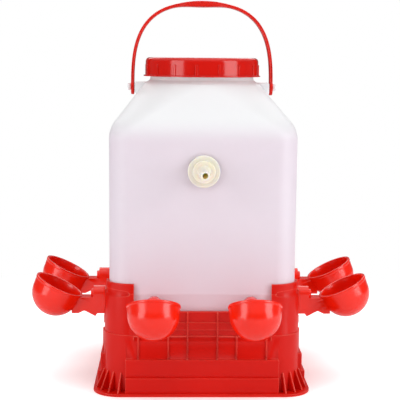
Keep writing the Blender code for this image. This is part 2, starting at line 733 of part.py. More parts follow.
def make_inner_lid():
    """Soft plug that closes the mouth under the screw lid: a shallow dish with a pull tab."""
    plug = NECK_RADIUS - JUG_WALL - RUNNING
    floor = INNER_LID_LOW - INNER_LID_DEPTH
    profile = [(0, floor), (plug, floor), (plug, INNER_LID_LOW), (NECK_RADIUS, INNER_LID_LOW)]
    profile += [(NECK_RADIUS, INNER_LID_LOW + INNER_LID_FLANGE)]
    profile += [(plug - INNER_LID_WALL, INNER_LID_LOW + INNER_LID_FLANGE)]
    profile += [(plug - INNER_LID_WALL, floor + INNER_LID_WALL), (0, floor + INNER_LID_WALL)]
    inner_lid = finish("inner_lid", turned(profile, QUARTER_STEPS * 4), NATURAL, 0.5)
    tab = box((-INNER_LID_TAB_LENGTH / 2, -INNER_LID_WALL / 2, floor + INNER_LID_WALL / 2),
              (INNER_LID_TAB_LENGTH / 2, INNER_LID_WALL / 2, floor + INNER_LID_WALL + INNER_LID_TAB_HEIGHT))
    add(inner_lid, tab)
    return inner_lid


def make_liner():
    """Foam disc that seals the screw lid on the plug's flange."""
    return finish("lid_liner", rod((0, 0, LINER_LOW), (0, 0, LINER_LOW + LINER_THICKNESS), NECK_RADIUS,
                                   QUARTER_STEPS * 4), NATURAL, 0.9)


def bowl_place():
    """Place of the bowl in the cup's own frame: +X leaves the jug, and Z is the bowl's axis."""
    return Matrix.Translation((BOWL_REACH, 0, BOWL_RISE)) @ Matrix.Rotation(-BOWL_TILT, 4, "Y")


def bowl_profile(radius, top):
    """Round-bottomed profile, from the lowest point up to where the wall is straight."""
    points = []
    for step in range(BOWL_ARC_STEPS + 1):
        turn = math.pi / 2 * step / BOWL_ARC_STEPS
        points.append((radius * math.sin(turn), -BOWL_STRAIGHT - radius * math.cos(turn)))
    return points + top


def make_cup():
    """One cup in its own frame: bowl, arm with its hook, valve block and the stem through the wall."""
    lip = BOWL_RADIUS + BOWL_LIP_PROUD
    outer_top = [(BOWL_RADIUS, -2 * BOWL_LIP_HEIGHT), (lip, -BOWL_LIP_HEIGHT), (lip, 0), (0, 0)]
    outer = turned(bowl_profile(BOWL_RADIUS, outer_top), BOWL_STEPS, bowl_place())
    cup = finish("cup", outer, RED_GLOSS, 0.2)
    low = -ARM_BELOW_STEM
    arm_end = BOWL_REACH - BOWL_RADIUS / 2
    outline = [(CUP_FACE, low), (HOOK_START, low), (HOOK_TIP, low - HOOK_DEPTH),
               (HOLLOW_REACH, low + HOLLOW_RISE), (HEEL_REACH, low), (arm_end, low),
               (arm_end, ARM_ABOVE_STEM), (CUP_FACE, ARM_ABOVE_STEM)]
    add(cup, prism([(x, -ARM_WIDTH / 2, z) for x, z in outline], Y_AXIS, ARM_WIDTH))
    dome = [(-ARM_WIDTH / 2, 0), (ARM_WIDTH / 2, 0)]
    dome += arc((0, VALVE_BLOCK_RISE), ARM_WIDTH / 2, 0, math.pi, SMALL_ROUND_STEPS)
    add(cup, prism([(VALVE_BLOCK_START, y, z) for y, z in dome], X_AXIS, VALVE_BLOCK_LENGTH))
    block_end = VALVE_BLOCK_START + VALVE_BLOCK_LENGTH
    add(cup, rod((block_end - OVERRUN, 0, VALVE_BLOCK_RISE), (block_end + SPIGOT_LENGTH, 0, VALVE_BLOCK_RISE),
                 SPIGOT_RADIUS, SMALL_ROUND_STEPS))
    add(cup, rod((-STEM_LENGTH, 0, 0), (CUP_FACE + OVERRUN, 0, 0), STEM_RADIUS, SMALL_ROUND_STEPS))
    inner_radius = BOWL_RADIUS - BOWL_WALL
    inner_top = [(inner_radius, OVERRUN), (0, OVERRUN)]
    cut(cup, turned(bowl_profile(inner_radius, inner_top), BOWL_STEPS, bowl_place()))
    bore_start = -STEM_LENGTH - OVERRUN
    cut(cup, rod((bore_start, 0, 0), (CHAMBER_START + OVERRUN, 0, 0), STEM_BORE, SMALL_ROUND_STEPS))
    cut(cup, rod((CHAMBER_START, 0, 0), (arm_end, 0, 0), CHAMBER_RADIUS, SMALL_ROUND_STEPS))
    return cup


def cup_frame(angle, across):
    """Place of a cup's own frame on the jug's wall."""
    return Matrix.Rotation(angle, 4, "Z") @ Matrix.Translation((JUG_HALF, across, STEM_Z))


def place_copy(master, name, matrix):
    """A further object with the same mesh, set in place."""
    obj = bpy.data.objects.new(name, master.data)
    bpy.context.scene.collection.objects.link(obj)
    obj.matrix_world = matrix
    return obj


def make_cup_washer():
    """Rubber washer between the jug's wall and a cup."""
    washer = tube((TOUCH, 0, 0), (TOUCH + CUP_WASHER_THICKNESS, 0, 0), CUP_WASHER_RADIUS,
                  STEM_RADIUS + TOUCH, SMALL_ROUND_STEPS)
    return finish("cup_washer", washer, RUBBER, 0.8)


def make_cup_nut():
    """Hexagon nut that holds a cup's stem inside the jug."""
    start = -JUG_WALL - TOUCH
    shell = nut((start, 0, 0), (start - CUP_NUT_HEIGHT, 0, 0), CUP_NUT_RADIUS, STEM_RADIUS + TOUCH)
    return finish("cup_nut", shell, NATURAL, 0.5)


def pin_pivot():
    """Middle of a peck pin's head, from the jug's wall."""
    return CHAMBER_START + RUNNING + PIN_HEAD_LENGTH / 2


def pin_droop():
    """Angle at which a peck pin lies on the lower lip of its chamber."""
    centre_x = BOWL_REACH + BOWL_STRAIGHT * math.sin(BOWL_TILT)
    centre_z = BOWL_RISE - BOWL_STRAIGHT * math.cos(BOWL_TILT)
    bore_flat = CHAMBER_RADIUS * math.cos(math.pi / SMALL_ROUND_STEPS)
    lip_x = centre_x - math.sqrt((BOWL_RADIUS - BOWL_WALL) ** 2 - (centre_z + bore_flat) ** 2)
    return math.atan((bore_flat - PIN_RADIUS - TOUCH) / (lip_x - pin_pivot()))


def make_pin():
    """Steel peck pin: a thin rod with a sealing head, its origin in the middle of the head."""
    half_head = PIN_HEAD_LENGTH / 2
    profile = [(0, -half_head), (PIN_HEAD_RADIUS, -half_head), (PIN_HEAD_RADIUS, half_head),
               (PIN_RADIUS, half_head), (PIN_RADIUS, PIN_LENGTH - PIN_RADIUS), (PIN_RADIUS / 2, PIN_LENGTH),
               (0, PIN_LENGTH)]
    turn = Matrix.Rotation(math.pi / 2, 4, "Y")
    return finish("peck_pin", turned(profile, SMALL_ROUND_STEPS, turn), STEEL, 0.25, 1.0)


def inlet_frame():
    """Place of the float valve's own frame: Z leaves the front wall, and Y is up."""
    return Matrix.Translation((0, -JUG_HALF, INLET_Z)) @ Matrix.Rotation(math.pi / 2, 4, "X")


def inlet_rod(start, end, radius, steps=INLET_STEPS):
    """A round bar on the float valve's axis, between two distances from the jug's wall."""
    return rod((0, -JUG_HALF - start, INLET_Z), (0, -JUG_HALF - end, INLET_Z), radius, steps)


def inlet_tube(start, end, outer, inner):
    """A ring on the float valve's axis, between two distances from the jug's wall."""
    return tube((0, -JUG_HALF - start, INLET_Z), (0, -JUG_HALF - end, INLET_Z), outer, inner, INLET_STEPS)


FLANGE_BACK = TOUCH + INLET_WASHER_THICKNESS + TOUCH
FLANGE_FRONT = FLANGE_BACK + INLET_FLANGE_THICKNESS
RING_FRONT = FLANGE_FRONT + INLET_RING_LENGTH
LEVER_PIVOT = Vector((0, -JUG_HALF + INLET_SHANK_LENGTH + LEVER_PIVOT_BACK, INLET_Z - PIVOT_DROP))
PISTON_TRAVEL = PIVOT_DROP * math.sin(FLOAT_DROOP)
PISTON_PAD_FRONT = -SEAT_DEPTH - TOUCH - PISTON_TRAVEL


def make_valve_body():
    """Moulded body of the float valve: hose nozzle, flanges, shank, piston chamber and clevis."""
    edge = INLET_EDGE_CHAMFER
    profile = [(NOZZLE_BORE, -INLET_SHANK_LENGTH), (NOZZLE_BORE, NOZZLE_REACH),
               (NOZZLE_TIP_RADIUS, NOZZLE_REACH),
               (NOZZLE_BASE_RADIUS, RING_FRONT), (INLET_RING_RADIUS - edge, RING_FRONT),
               (INLET_RING_RADIUS, RING_FRONT - edge), (INLET_RING_RADIUS, FLANGE_FRONT),
               (INLET_FLANGE_RADIUS - edge, FLANGE_FRONT), (INLET_FLANGE_RADIUS, FLANGE_FRONT - edge),
               (INLET_FLANGE_RADIUS, FLANGE_BACK), (INLET_SHANK_RADIUS, FLANGE_BACK),
               (INLET_SHANK_RADIUS, -INLET_SHANK_LENGTH)]
    body = finish("valve_body", turned(profile, INLET_STEPS, inlet_frame()), IVORY, 0.35)
    shank_end = -JUG_HALF + INLET_SHANK_LENGTH
    for side in (-1, 1):
        near, far = sorted((side * CLEVIS_INNER_HALF, side * (CLEVIS_INNER_HALF + CLEVIS_THICKNESS)))
        add(body, box((near, shank_end - OVERRUN, LEVER_PIVOT.z - LEVER_BOSS_RADIUS),
                      (far, LEVER_PIVOT.y + LEVER_BOSS_RADIUS, INLET_Z + PISTON_ROD_RADIUS)))
    cut(body, inlet_rod(-SEAT_DEPTH, -INLET_SHANK_LENGTH - TOUCH, PISTON_CHAMBER_RADIUS))
    reach = CLEVIS_INNER_HALF + CLEVIS_THICKNESS + OVERRUN
    cut(body, rod(LEVER_PIVOT - X_AXIS * reach, LEVER_PIVOT + X_AXIS * reach, LEVER_PIN_RADIUS + TOUCH,
                  SMALL_ROUND_STEPS))
    return body


def make_valve_fixings():
    """Washers on both sides of the front wall, and the nut behind it."""
    hole = INLET_SHANK_RADIUS + TOUCH
    outer = inlet_tube(TOUCH, TOUCH + INLET_WASHER_THICKNESS, INLET_WASHER_RADIUS, hole)
    inner_face = -JUG_WALL - TOUCH
    inner = inlet_tube(inner_face, inner_face - INLET_WASHER_THICKNESS, INLET_WASHER_RADIUS, hole)
    nut_face = inner_face - INLET_WASHER_THICKNESS - TOUCH
    nut_start = Vector((0, -JUG_HALF - nut_face, INLET_Z))
    lock_nut = nut(nut_start, nut_start + Y_AXIS * INLET_NUT_HEIGHT, INLET_NUT_RADIUS, hole)
    return [finish("valve_outer_washer", outer, RUBBER, 0.8),
            finish("valve_inner_washer", inner, RUBBER, 0.8),
            finish("valve_lock_nut", lock_nut, IVORY, 0.4)]


def make_piston():
    """Piston that the float's cam pushes on to the seat, and its rubber pad."""
    pad = inlet_rod(PISTON_PAD_FRONT, PISTON_PAD_FRONT - PISTON_PAD_LENGTH, PISTON_RADIUS)
    front = PISTON_PAD_FRONT - PISTON_PAD_LENGTH - TOUCH
    cam_face = -JUG_HALF - (LEVER_PIVOT.y + PISTON_TRAVEL - CAM_RADIUS - TOUCH)
    profile = [(0, cam_face), (PISTON_ROD_RADIUS, cam_face), (PISTON_ROD_RADIUS, front - PISTON_LENGTH),
               (PISTON_RADIUS, front - PISTON_LENGTH), (PISTON_RADIUS, front), (0, front)]
    piston = finish("valve_piston", turned(profile, INLET_STEPS, inlet_frame()), NATURAL, 0.4)
    return piston, finish("piston_pad", pad, RUBBER, 0.8)


def make_float_lever():
    """Float lever with its cam, modelled level and then drooped about its pivot, and its pin."""
    half_height = LEVER_HEIGHT / 2
    cam_foot = math.asin(CAM_FINGER_HALF / CAM_RADIUS)
    outline = [(LEVER_LENGTH, -half_height), (LEVER_LENGTH, half_height), (CAM_FINGER_HALF, half_height)]
    outline += arc((0, PIVOT_DROP), CAM_RADIUS, cam_foot - math.pi / 2, math.pi * 3 / 2 - cam_foot,
                   SMALL_ROUND_STEPS)
    boss_top = math.acos(-CAM_FINGER_HALF / LEVER_BOSS_RADIUS)
    boss_foot = math.tau - math.asin(half_height / LEVER_BOSS_RADIUS)
    outline += arc((0, 0), LEVER_BOSS_RADIUS, boss_top, boss_foot, SMALL_ROUND_STEPS // 2)
    start = LEVER_PIVOT - X_AXIS * LEVER_THICKNESS / 2
    points = [start + Y_AXIS * y + Z_AXIS * z for y, z in outline]
    lever = finish("float_lever", prism(points, X_AXIS, LEVER_THICKNESS), NATURAL, 0.4)
    reach = X_AXIS * LEVER_THICKNESS
    cut(lever, rod(LEVER_PIVOT - reach, LEVER_PIVOT + reach, LEVER_PIN_RADIUS + TOUCH, SMALL_ROUND_STEPS))
    pin_half = X_AXIS * (CLEVIS_INNER_HALF + CLEVIS_THICKNESS + RUNNING)
    pin = finish("float_lever_pin", rod(LEVER_PIVOT - pin_half, LEVER_PIVOT + pin_half, LEVER_PIN_RADIUS,
                                        SMALL_ROUND_STEPS), STEEL, 0.3, 1.0)
    return lever, pin


def make_float():
    """Hollow float, modelled as a solid, with the socket that the lever's end plugs into."""
    middle = LEVER_PIVOT + Y_AXIS * (LEVER_LENGTH + FLOAT_RADIUS - FLOAT_SOCKET_DEPTH)
    half = FLOAT_LENGTH / 2
    round_in = FLOAT_RADIUS / 4
    profile = [(0, -half), (FLOAT_RADIUS - round_in, -half), (FLOAT_RADIUS, round_in - half),
               (FLOAT_RADIUS, half - round_in), (FLOAT_RADIUS - round_in, half), (0, half)]
    place = Matrix.Translation(middle) @ Matrix.Rotation(math.pi / 2, 4, "Y")
    float_body = finish("float", turned(profile, INLET_STEPS, place), NATURAL, 0.5)
    socket = Vector((LEVER_THICKNESS / 2 + TOUCH, 0, LEVER_HEIGHT / 2 + TOUCH))
    end = LEVER_PIVOT + Y_AXIS * (LEVER_LENGTH + TOUCH)
    cut(float_body, box(end - Y_AXIS * (FLOAT_SOCKET_DEPTH + OVERRUN) - socket, end + socket))
    return float_body


def droop(obj):
    """Sets a piece's origin on the lever's pivot and lets it hang to its lower stop."""
    set_origin(obj, LEVER_PIVOT)
    obj.rotation_euler.x = -FLOAT_DROOP


for old in list(bpy.data.objects):
    bpy.data.objects.remove(old)

stand = make_stand()
jug = make_jug()
handle = make_handle()
inner_lid = make_inner_lid()
lid_liner = make_liner()
lid_cap = make_lid()
set_origin(lid_cap, (0, 0, LID_BOTTOM_Z))
attach(jug, stand)
attach(handle, jug)
attach(inner_lid, jug)
attach(lid_liner, inner_lid)
attach(lid_cap, lid_liner)

CUP_NAMES = ("right_front", "right_back", "back_right", "back_left",
             "left_back", "left_front", "front_left", "front_right")
masters = [make_cup(), make_pin(), make_cup_washer(), make_cup_nut()]
cup_master, pin_master, washer_master, nut_master = masters
for cup_name, (angle, across) in zip(CUP_NAMES, cup_places()):
    frame = cup_frame(angle, across)
    cup = place_copy(cup_master, "cup_" + cup_name, frame)
    attach(cup, jug)
    attach(place_copy(washer_master, "cup_washer_" + cup_name, frame), jug)
    attach(place_copy(nut_master, "cup_nut_" + cup_name, frame), jug)
    tilt = Matrix.Translation((pin_pivot(), 0, 0)) @ Matrix.Rotation(pin_droop(), 4, "Y")
    attach(place_copy(pin_master, "peck_pin_" + cup_name, frame @ tilt), cup)
for master in masters:
    bpy.data.objects.remove(master)

valve_body = make_valve_body()
attach(valve_body, jug)
for fixing in make_valve_fixings():
    attach(fixing, jug)
valve_piston, piston_pad = make_piston()
attach(valve_piston, valve_body)
attach(piston_pad, valve_piston)
float_lever, float_lever_pin = make_float_lever()
float_body = make_float()
droop(float_lever)
droop(float_body)
attach(float_lever_pin, valve_body)
attach(float_lever, valve_body)
attach(float_body, float_lever)
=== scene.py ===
import math

import bmesh
import bpy
from mathutils import Matrix, Vector


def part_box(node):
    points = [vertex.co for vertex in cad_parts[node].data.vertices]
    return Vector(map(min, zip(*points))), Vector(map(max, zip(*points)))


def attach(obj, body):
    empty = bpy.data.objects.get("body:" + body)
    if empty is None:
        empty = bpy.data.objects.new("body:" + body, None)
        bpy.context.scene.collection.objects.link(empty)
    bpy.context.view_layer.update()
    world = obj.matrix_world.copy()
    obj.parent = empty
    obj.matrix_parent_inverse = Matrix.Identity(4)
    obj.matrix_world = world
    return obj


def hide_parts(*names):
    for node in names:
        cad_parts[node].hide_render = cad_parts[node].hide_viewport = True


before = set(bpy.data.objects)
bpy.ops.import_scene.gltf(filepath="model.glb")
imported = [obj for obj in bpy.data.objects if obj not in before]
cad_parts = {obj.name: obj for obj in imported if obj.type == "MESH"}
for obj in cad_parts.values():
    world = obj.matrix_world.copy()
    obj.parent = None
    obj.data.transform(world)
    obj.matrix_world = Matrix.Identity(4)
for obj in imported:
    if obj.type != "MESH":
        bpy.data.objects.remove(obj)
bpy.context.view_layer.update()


# Camera, studio and floor
# The drinker stands in a white studio. Two soft boxes in front, left and right, give the upright highlights,
# and a wide one overhead lights the shoulders. The camera's place was fitted to the photograph.
CAMERA_PLACE = Vector((-0.0386, -1.2645, 0.3673))
CAMERA_YAW = math.radians(-1.71)
CAMERA_PITCH = math.radians(7.49)
CAMERA_ROLL = math.radians(0.53)
FOCAL_SHARE = 1086.65 / 400
SENSOR_WIDTH = 36.0
STUDIO_MIDDLE = Vector((0, 0, 0.22))
FLOOR_RADIUS = 3.0
FLOOR_FOOT_RADIUS = 0.115
FLOOR_CLEAR_RADIUS = 0.19
FLOOR_SHADE_RADIUS = 0.34
FLOOR_WHITE_RADIUS = 0.62


def colour(hex_text):
    """Linear RGBA from an sRGB hex value."""
    channels = []
    for start in (0, 2, 4):
        value = int(hex_text[start:start + 2], 16) / 255
        channels.append(value / 12.92 if value <= 0.04045 else ((value + 0.055) / 1.055) ** 2.4)
    return (*channels, 1.0)


def feed(tree, node, inputs):
    """Gives a node's sockets their values or links; a node stands for the first output that it has in use."""
    for socket, value in dict(inputs).items():
        if isinstance(value, bpy.types.Node):
            value = next(output for output in value.outputs if output.enabled)
        if isinstance(value, bpy.types.NodeSocket):
            tree.links.new(value, node.inputs[socket])
        else:
            node.inputs[socket].default_value = value


def add_node(tree, kind, inputs=(), **settings):
    """Adds one node: settings are its properties, and inputs gives its sockets a value or a link."""
    made = tree.nodes.new(kind)
    for name, value in settings.items():
        setattr(made, name, value)
    feed(tree, made, inputs)
    return made


def link_object(name, data):
    """An object for a mesh, a lamp or a camera, in the scene at the origin."""
    obj = bpy.data.objects.new(name, data)
    bpy.context.scene.collection.objects.link(obj)
    return obj


def soft_box(name, azimuth, elevation, distance, width, height, power):
    """A soft box that faces the drinker; azimuth 0 is straight in front, and positive is to the right."""
    lamp = bpy.data.lights.new(name, "AREA")
    lamp.shape = "RECTANGLE"
    lamp.size = width
    lamp.size_y = height
    lamp.energy = power
    side, rise = math.radians(azimuth), math.radians(elevation)
    back = Vector((math.sin(side) * math.cos(rise), -math.cos(side) * math.cos(rise), math.sin(rise)))
    turn = back.to_track_quat("Z", "Y").to_matrix().to_4x4()
    link_object(name, lamp).matrix_world = Matrix.Translation(STUDIO_MIDDLE + back * distance) @ turn


def light_the_world():
    """White all round for the camera; as light it is dim at the horizon and brighter overhead."""
    world = bpy.data.worlds.new("white_studio")
    world.use_nodes = True
    bpy.context.scene.world = world
    tree = world.node_tree
    tree.nodes.clear()
    ray = add_node(tree, "ShaderNodeLightPath").outputs
    direction = add_node(tree, "ShaderNodeTexCoord").outputs["Generated"]
    height = add_node(tree, "ShaderNodeSeparateXYZ", {"Vector": direction}).outputs["Z"]
    overhead = add_node(tree, "ShaderNodeMapRange", {"Value": height, "From Min": 0.15, "From Max": 0.9},
                        interpolation_type="SMOOTHSTEP")
    ambient = add_node(tree, "ShaderNodeMapRange", {"Value": overhead, "To Min": 0.13, "To Max": 0.58})
    mirrored = add_node(tree, "ShaderNodeMath", {0: ray["Is Glossy Ray"], 1: overhead}, operation="MULTIPLY")
    straight = add_node(tree, "ShaderNodeMath", {0: ray["Is Camera Ray"], 1: ray["Is Transmission Ray"]},
                        operation="MAXIMUM")
    seen = add_node(tree, "ShaderNodeMath", {0: straight, 1: mirrored}, operation="MAXIMUM")
    strength = add_node(tree, "ShaderNodeMix", {"Factor": seen, "A": ambient, "B": 1.0})
    light = add_node(tree, "ShaderNodeBackground", {"Color": colour("ffffff"), "Strength": strength})
    add_node(tree, "ShaderNodeOutputWorld", {"Surface": light})


def white_paper_sweep():
    """White paper: it takes the drinker's shadow at the foot, and further out it is plain white."""
    material = bpy.data.materials.new("white_paper_sweep")
    material.use_nodes = True
    tree = material.node_tree
    tree.nodes.clear()
    place = add_node(tree, "ShaderNodeTexCoord").outputs["Object"]
    reach = add_node(tree, "ShaderNodeVectorMath", {0: place}, operation="LENGTH")
    far = add_node(tree, "ShaderNodeMapRange", {"Value": reach, "From Min": FLOOR_SHADE_RADIUS,
                                                "From Max": FLOOR_WHITE_RADIUS},
                   interpolation_type="SMOOTHSTEP")
    fibre = add_node(tree, "ShaderNodeTexNoise", {"Vector": place, "Scale": 400.0, "Detail": 3.0})
    paper = add_node(tree, "ShaderNodeMix", {"Factor": fibre, "A": colour("f4f4f5"), "B": colour("ffffff")},
                     data_type="RGBA")
    shaded = add_node(tree, "ShaderNodeBsdfDiffuse", {"Color": paper})
    clear = add_node(tree, "ShaderNodeMapRange", {"Value": reach, "From Min": FLOOR_FOOT_RADIUS,
                                                  "From Max": FLOOR_CLEAR_RADIUS, "To Min": 0.18,
                                                  "To Max": 0.46}, interpolation_type="SMOOTHSTEP")
    lift = add_node(tree, "ShaderNodeEmission", {"Color": colour("ffffff"), "Strength": clear})
    near = add_node(tree, "ShaderNodeAddShader", {0: shaded, 1: lift})
    white = add_node(tree, "ShaderNodeEmission", {"Color": colour("ffffff"), "Strength": 1.0})
    shown = add_node(tree, "ShaderNodeMixShader", {0: far, 1: near, 2: white})
    ray = add_node(tree, "ShaderNodeLightPath").outputs
    seen = add_node(tree, "ShaderNodeMath", {0: ray["Is Camera Ray"], 1: ray["Is Transmission Ray"]},
                    operation="MAXIMUM")
    surface = add_node(tree, "ShaderNodeMixShader", {0: seen, 1: shaded, 2: shown})
    add_node(tree, "ShaderNodeOutputMaterial", {"Surface": surface})
    return material


camera_data = bpy.data.cameras.new("photograph_camera")
camera_data.sensor_width = SENSOR_WIDTH
camera_data.lens = FOCAL_SHARE * SENSOR_WIDTH
camera = link_object("photograph_camera", camera_data)
camera_turn = (Matrix.Rotation(CAMERA_YAW, 4, "Z") @ Matrix.Rotation(math.pi / 2 - CAMERA_PITCH, 4, "X")
               @ Matrix.Rotation(CAMERA_ROLL, 4, "Z"))
camera.matrix_world = Matrix.Translation(CAMERA_PLACE) @ camera_turn
bpy.context.scene.camera = camera
bpy.context.scene.view_settings.view_transform = "Standard"
soft_box("soft_box_left", -52, 12, 1.6, 0.75, 1.2, 11.0)
soft_box("soft_box_right", 58, 14, 1.6, 0.80, 1.2, 13.5)
soft_box("soft_box_top", 10, 80, 1.5, 1.4, 1.4, 5.0)
soft_box("soft_box_back", 180, 35, 1.8, 1.6, 0.8, 9.0)
light_the_world()
floor_shell = bmesh.new()
bmesh.ops.create_circle(floor_shell, cap_ends=True, segments=96, radius=FLOOR_RADIUS)
floor_mesh = bpy.data.meshes.new("floor")
floor_shell.to_mesh(floor_mesh)
floor_shell.free()
floor_mesh.materials.append(white_paper_sweep())
link_object("floor", floor_mesh)


# Stand
# One large injection moulding in red polypropylene: a stepped hollow foot with ribs, a shelf for the jug,
# four corner collars and open notches for the cups' arms. Its mould is lightly textured, so it is satin.
SEAT_HALF = 0.104
SEAT_CORNER = 0.025
COLLAR_HALF = SEAT_HALF + 0.0022
POST_HALF = COLLAR_HALF + 0.0018
BODY_HALF = POST_HALF + 0.001
MIDDLE_TIER_HALF = BODY_HALF + 0.0035
BOTTOM_TIER_HALF = MIDDLE_TIER_HALF + 0.0035
FLANGE_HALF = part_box("stand")[1].x
FLANGE_CORNER = 0.030
FLANGE_HEIGHT = 0.003
BOTTOM_TIER_TOP = 0.020
MIDDLE_TIER_TOP = 0.0395
TIERS = ((BOTTOM_TIER_HALF, BOTTOM_TIER_TOP), (MIDDLE_TIER_HALF, MIDDLE_TIER_TOP))
SEAM_HEIGHT = 0.0662
SHELF_HEIGHT = 0.070
PANEL_HEIGHT = 0.0925
POST_HEIGHT = 0.112
COLLAR_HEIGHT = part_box("stand")[1].z
TIER_HALF_WIDTH = 0.084
WINDOW_HALF_WIDTH = 0.075
WINDOW_ROUND = 0.006
GROOVE_TOP = SEAM_HEIGHT - 0.0017
GROOVE_HEIGHT = 0.005
GROOVE_DEPTH = 0.0012
BAND_LOW = SEAM_HEIGHT + 0.0058
BAND_HEIGHT = 0.009
BAND_PROUD = 0.0012
SCOOP_WALL = 0.0016
SCOOP_REACH = math.radians(44)
SCOOP_RISE = 0.003
SCOOP_DROP = 0.0052
SCOOP_TIP_DROP = 0.0018
SCOOP_SLOPE = 0.0026
SCOOP_CLEAR = 0.00005
SCOOP_STEPS = 28
RIB_WIDTH = 0.0018
RIB_PROUD = 0.0025
RIB_PITCH = 0.0327
RIB_BAY = 0.0537
FIN_THICKNESS = 0.0016
FIN_HEIGHT = 0.024
FIN_REACH = 0.0105
FINS_PER_CORNER = 4
FIRST_FIN = math.radians(19)
CUP_SPACING = 0.1056
NOTCH_HALF = 0.01125
NOTCH_LOW = 0.07805
FOOT_WALL = 0.0025
SHELF_THICKNESS = 0.0025
SHELF_RIB_DEPTH = 0.008
SHELF_RIB_SPACING = 0.050
SHARP = 35
MOULD_EDGE = 0.0009
THIN_EDGE = 0.0005
EDGE_STEPS = 4
CORNER_STEPS = 16
OVERRUN = 0.004
MERGE = 1e-6
X_AXIS = Vector((1, 0, 0))
Y_AXIS = Vector((0, 1, 0))
Z_AXIS = Vector((0, 0, 1))
QUARTER = math.pi / 2


def blank_material(name):
    """A new material with what each finish starts from: its tree, its shader and the place on the piece."""
    material = bpy.data.materials.new(name)
    material.use_nodes = True
    tree = material.node_tree
    place = add_node(tree, "ShaderNodeTexCoord").outputs["Object"]
    return material, tree, tree.nodes["Principled BSDF"], place


def moulded_plastic(name, deep, light, roughness, grain_mm, grain_depth_mm, drift_mm, specular=0.5, coat=0.0):
    """Pigmented moulded plastic: slow drift in the pigment, and the grain of the mould in bump and gloss."""
    material, tree, shader, place = blank_material(name)
    drift = add_node(tree, "ShaderNodeTexNoise", {"Vector": place, "Scale": 1000 / drift_mm, "Detail": 3.0,
                                                  "Roughness": 0.55})
    pigment = add_node(tree, "ShaderNodeMix", {"Factor": drift, "A": colour(deep), "B": colour(light)},
                       data_type="RGBA")
    grain = add_node(tree, "ShaderNodeTexNoise", {"Vector": place, "Scale": 1000 / grain_mm, "Detail": 2.0})
    gloss = add_node(tree, "ShaderNodeMapRange", {"Value": grain, "From Min": 0.3, "From Max": 0.7,
                                                  "To Min": roughness * 0.9, "To Max": roughness * 1.1})
    relief = add_node(tree, "ShaderNodeBump", {"Height": grain, "Strength": 1.0,
                                               "Distance": grain_depth_mm / 1000})
    feed(tree, shader, {"Base Color": pigment, "Roughness": gloss, "Normal": relief, "IOR": 1.49,
                        "Specular IOR Level": specular, "Coat Weight": coat, "Coat Roughness": 0.06})
    return material


def paint_edge_highlights(material, reach_mm, tone, most):
    """Paints a plastic lighter along its outer edges: a painted highlight where the edges would catch the
    lamps.
    """
    tree = material.node_tree
    shader = tree.nodes["Principled BSDF"]
    pigment = shader.inputs["Base Color"].links[0].from_socket
    inward = add_node(tree, "ShaderNodeAmbientOcclusion", {"Distance": reach_mm / 1000}, inside=True,
                      samples=8)
    # Painted highlight: the mask is strongest where the inward occlusion finds a convex edge close by.
    edge_highlight = add_node(tree, "ShaderNodeMapRange", {"Value": inward.outputs["AO"], "From Min": 0.95,
                                                   "From Max": 0.40, "To Max": most},
                      interpolation_type="SMOOTHSTEP")
    highlighted = add_node(tree, "ShaderNodeMix", {"Factor": edge_highlight, "A": pigment, "B": colour(tone)},
                    data_type="RGBA")
    feed(tree, shader, {"Base Color": highlighted})


def shade(obj, sharp=SHARP):
    """Shades a piece smooth except at its edges that are sharper than an angle in degrees."""
    obj.data.shade_smooth()
    obj.data.set_sharp_from_angle(angle=math.radians(sharp))
    return obj


def mesh_object(name, shell, sharp=40):
    """An object from a bmesh, with its normals outwards, shaded smooth except at its sharp edges."""
    bmesh.ops.recalc_face_normals(shell, faces=shell.faces)
    mesh = bpy.data.meshes.new(name)
    shell.to_mesh(mesh)
    shell.free()
    return shade(link_object(name, mesh), sharp)


def bake_modifiers(obj):
    """Turns a piece with its modifiers into a plain mesh."""
    graph = bpy.context.evaluated_depsgraph_get()
    mesh = bpy.data.meshes.new_from_object(obj.evaluated_get(graph))
    obj.modifiers.clear()
    obj.data = mesh


def round_edges(obj, width, sharp, segments=2):
    """Rounds a piece's real edges and shades the rest smooth."""
    obj.data.shade_smooth()
    edge = obj.modifiers.new("round_edges", "BEVEL")
    edge.width = width
    edge.segments = segments
    edge.limit_method = "ANGLE"
    edge.angle_limit = math.radians(sharp)
    edge.use_clamp_overlap = False
    edge.harden_normals = True
    edge.miter_outer = "MITER_ARC"
    bake_modifiers(obj)


def gathered(shells):
    """Several closed shells in one bmesh."""
    whole = bmesh.new()
    for shell in shells:
        mesh = bpy.data.meshes.new("part")
        shell.to_mesh(mesh)
        shell.free()
        whole.from_mesh(mesh)
        bpy.data.meshes.remove(mesh)
    return whole


def shape(obj, shell, operation):
    """Joins a shell to a piece, or cuts it away."""
    tool = mesh_object("tool", shell)
    change = obj.modifiers.new(operation, "BOOLEAN")
    change.operation = operation
    change.solver = "EXACT"
    change.object = tool
    bake_modifiers(obj)
    bpy.data.objects.remove(tool)


def prism(outline, direction, length):
    """Extrudes a closed outline of points along a direction."""
    shell = bmesh.new()
    face = shell.faces.new([shell.verts.new(point) for point in outline])
    grown = bmesh.ops.extrude_face_region(shell, geom=[face])
    moved = [item for item in grown["geom"] if isinstance(item, bmesh.types.BMVert)]
    bmesh.ops.translate(shell, vec=Vector(direction) * length, verts=moved)
    bmesh.ops.recalc_face_normals(shell, faces=shell.faces)
    return shell


def edged_prism(outline, direction, length, edge):
    """A prism with rounded edges, as a shell."""
    piece = mesh_object("prism", prism(outline, direction, length))
    round_edges(piece, edge, 20, 3)
    shell = bmesh.new()
    shell.from_mesh(piece.data)
    bpy.data.objects.remove(piece)
    return shell


def slab(low, high, edge):
    """A box between two corners with rounded edges, as a shell."""
    section = ((low[1], low[2]), (high[1], low[2]), (high[1], high[2]), (low[1], high[2]))
    return edged_prism([(low[0], y, z) for y, z in section], X_AXIS, high[0] - low[0], edge)


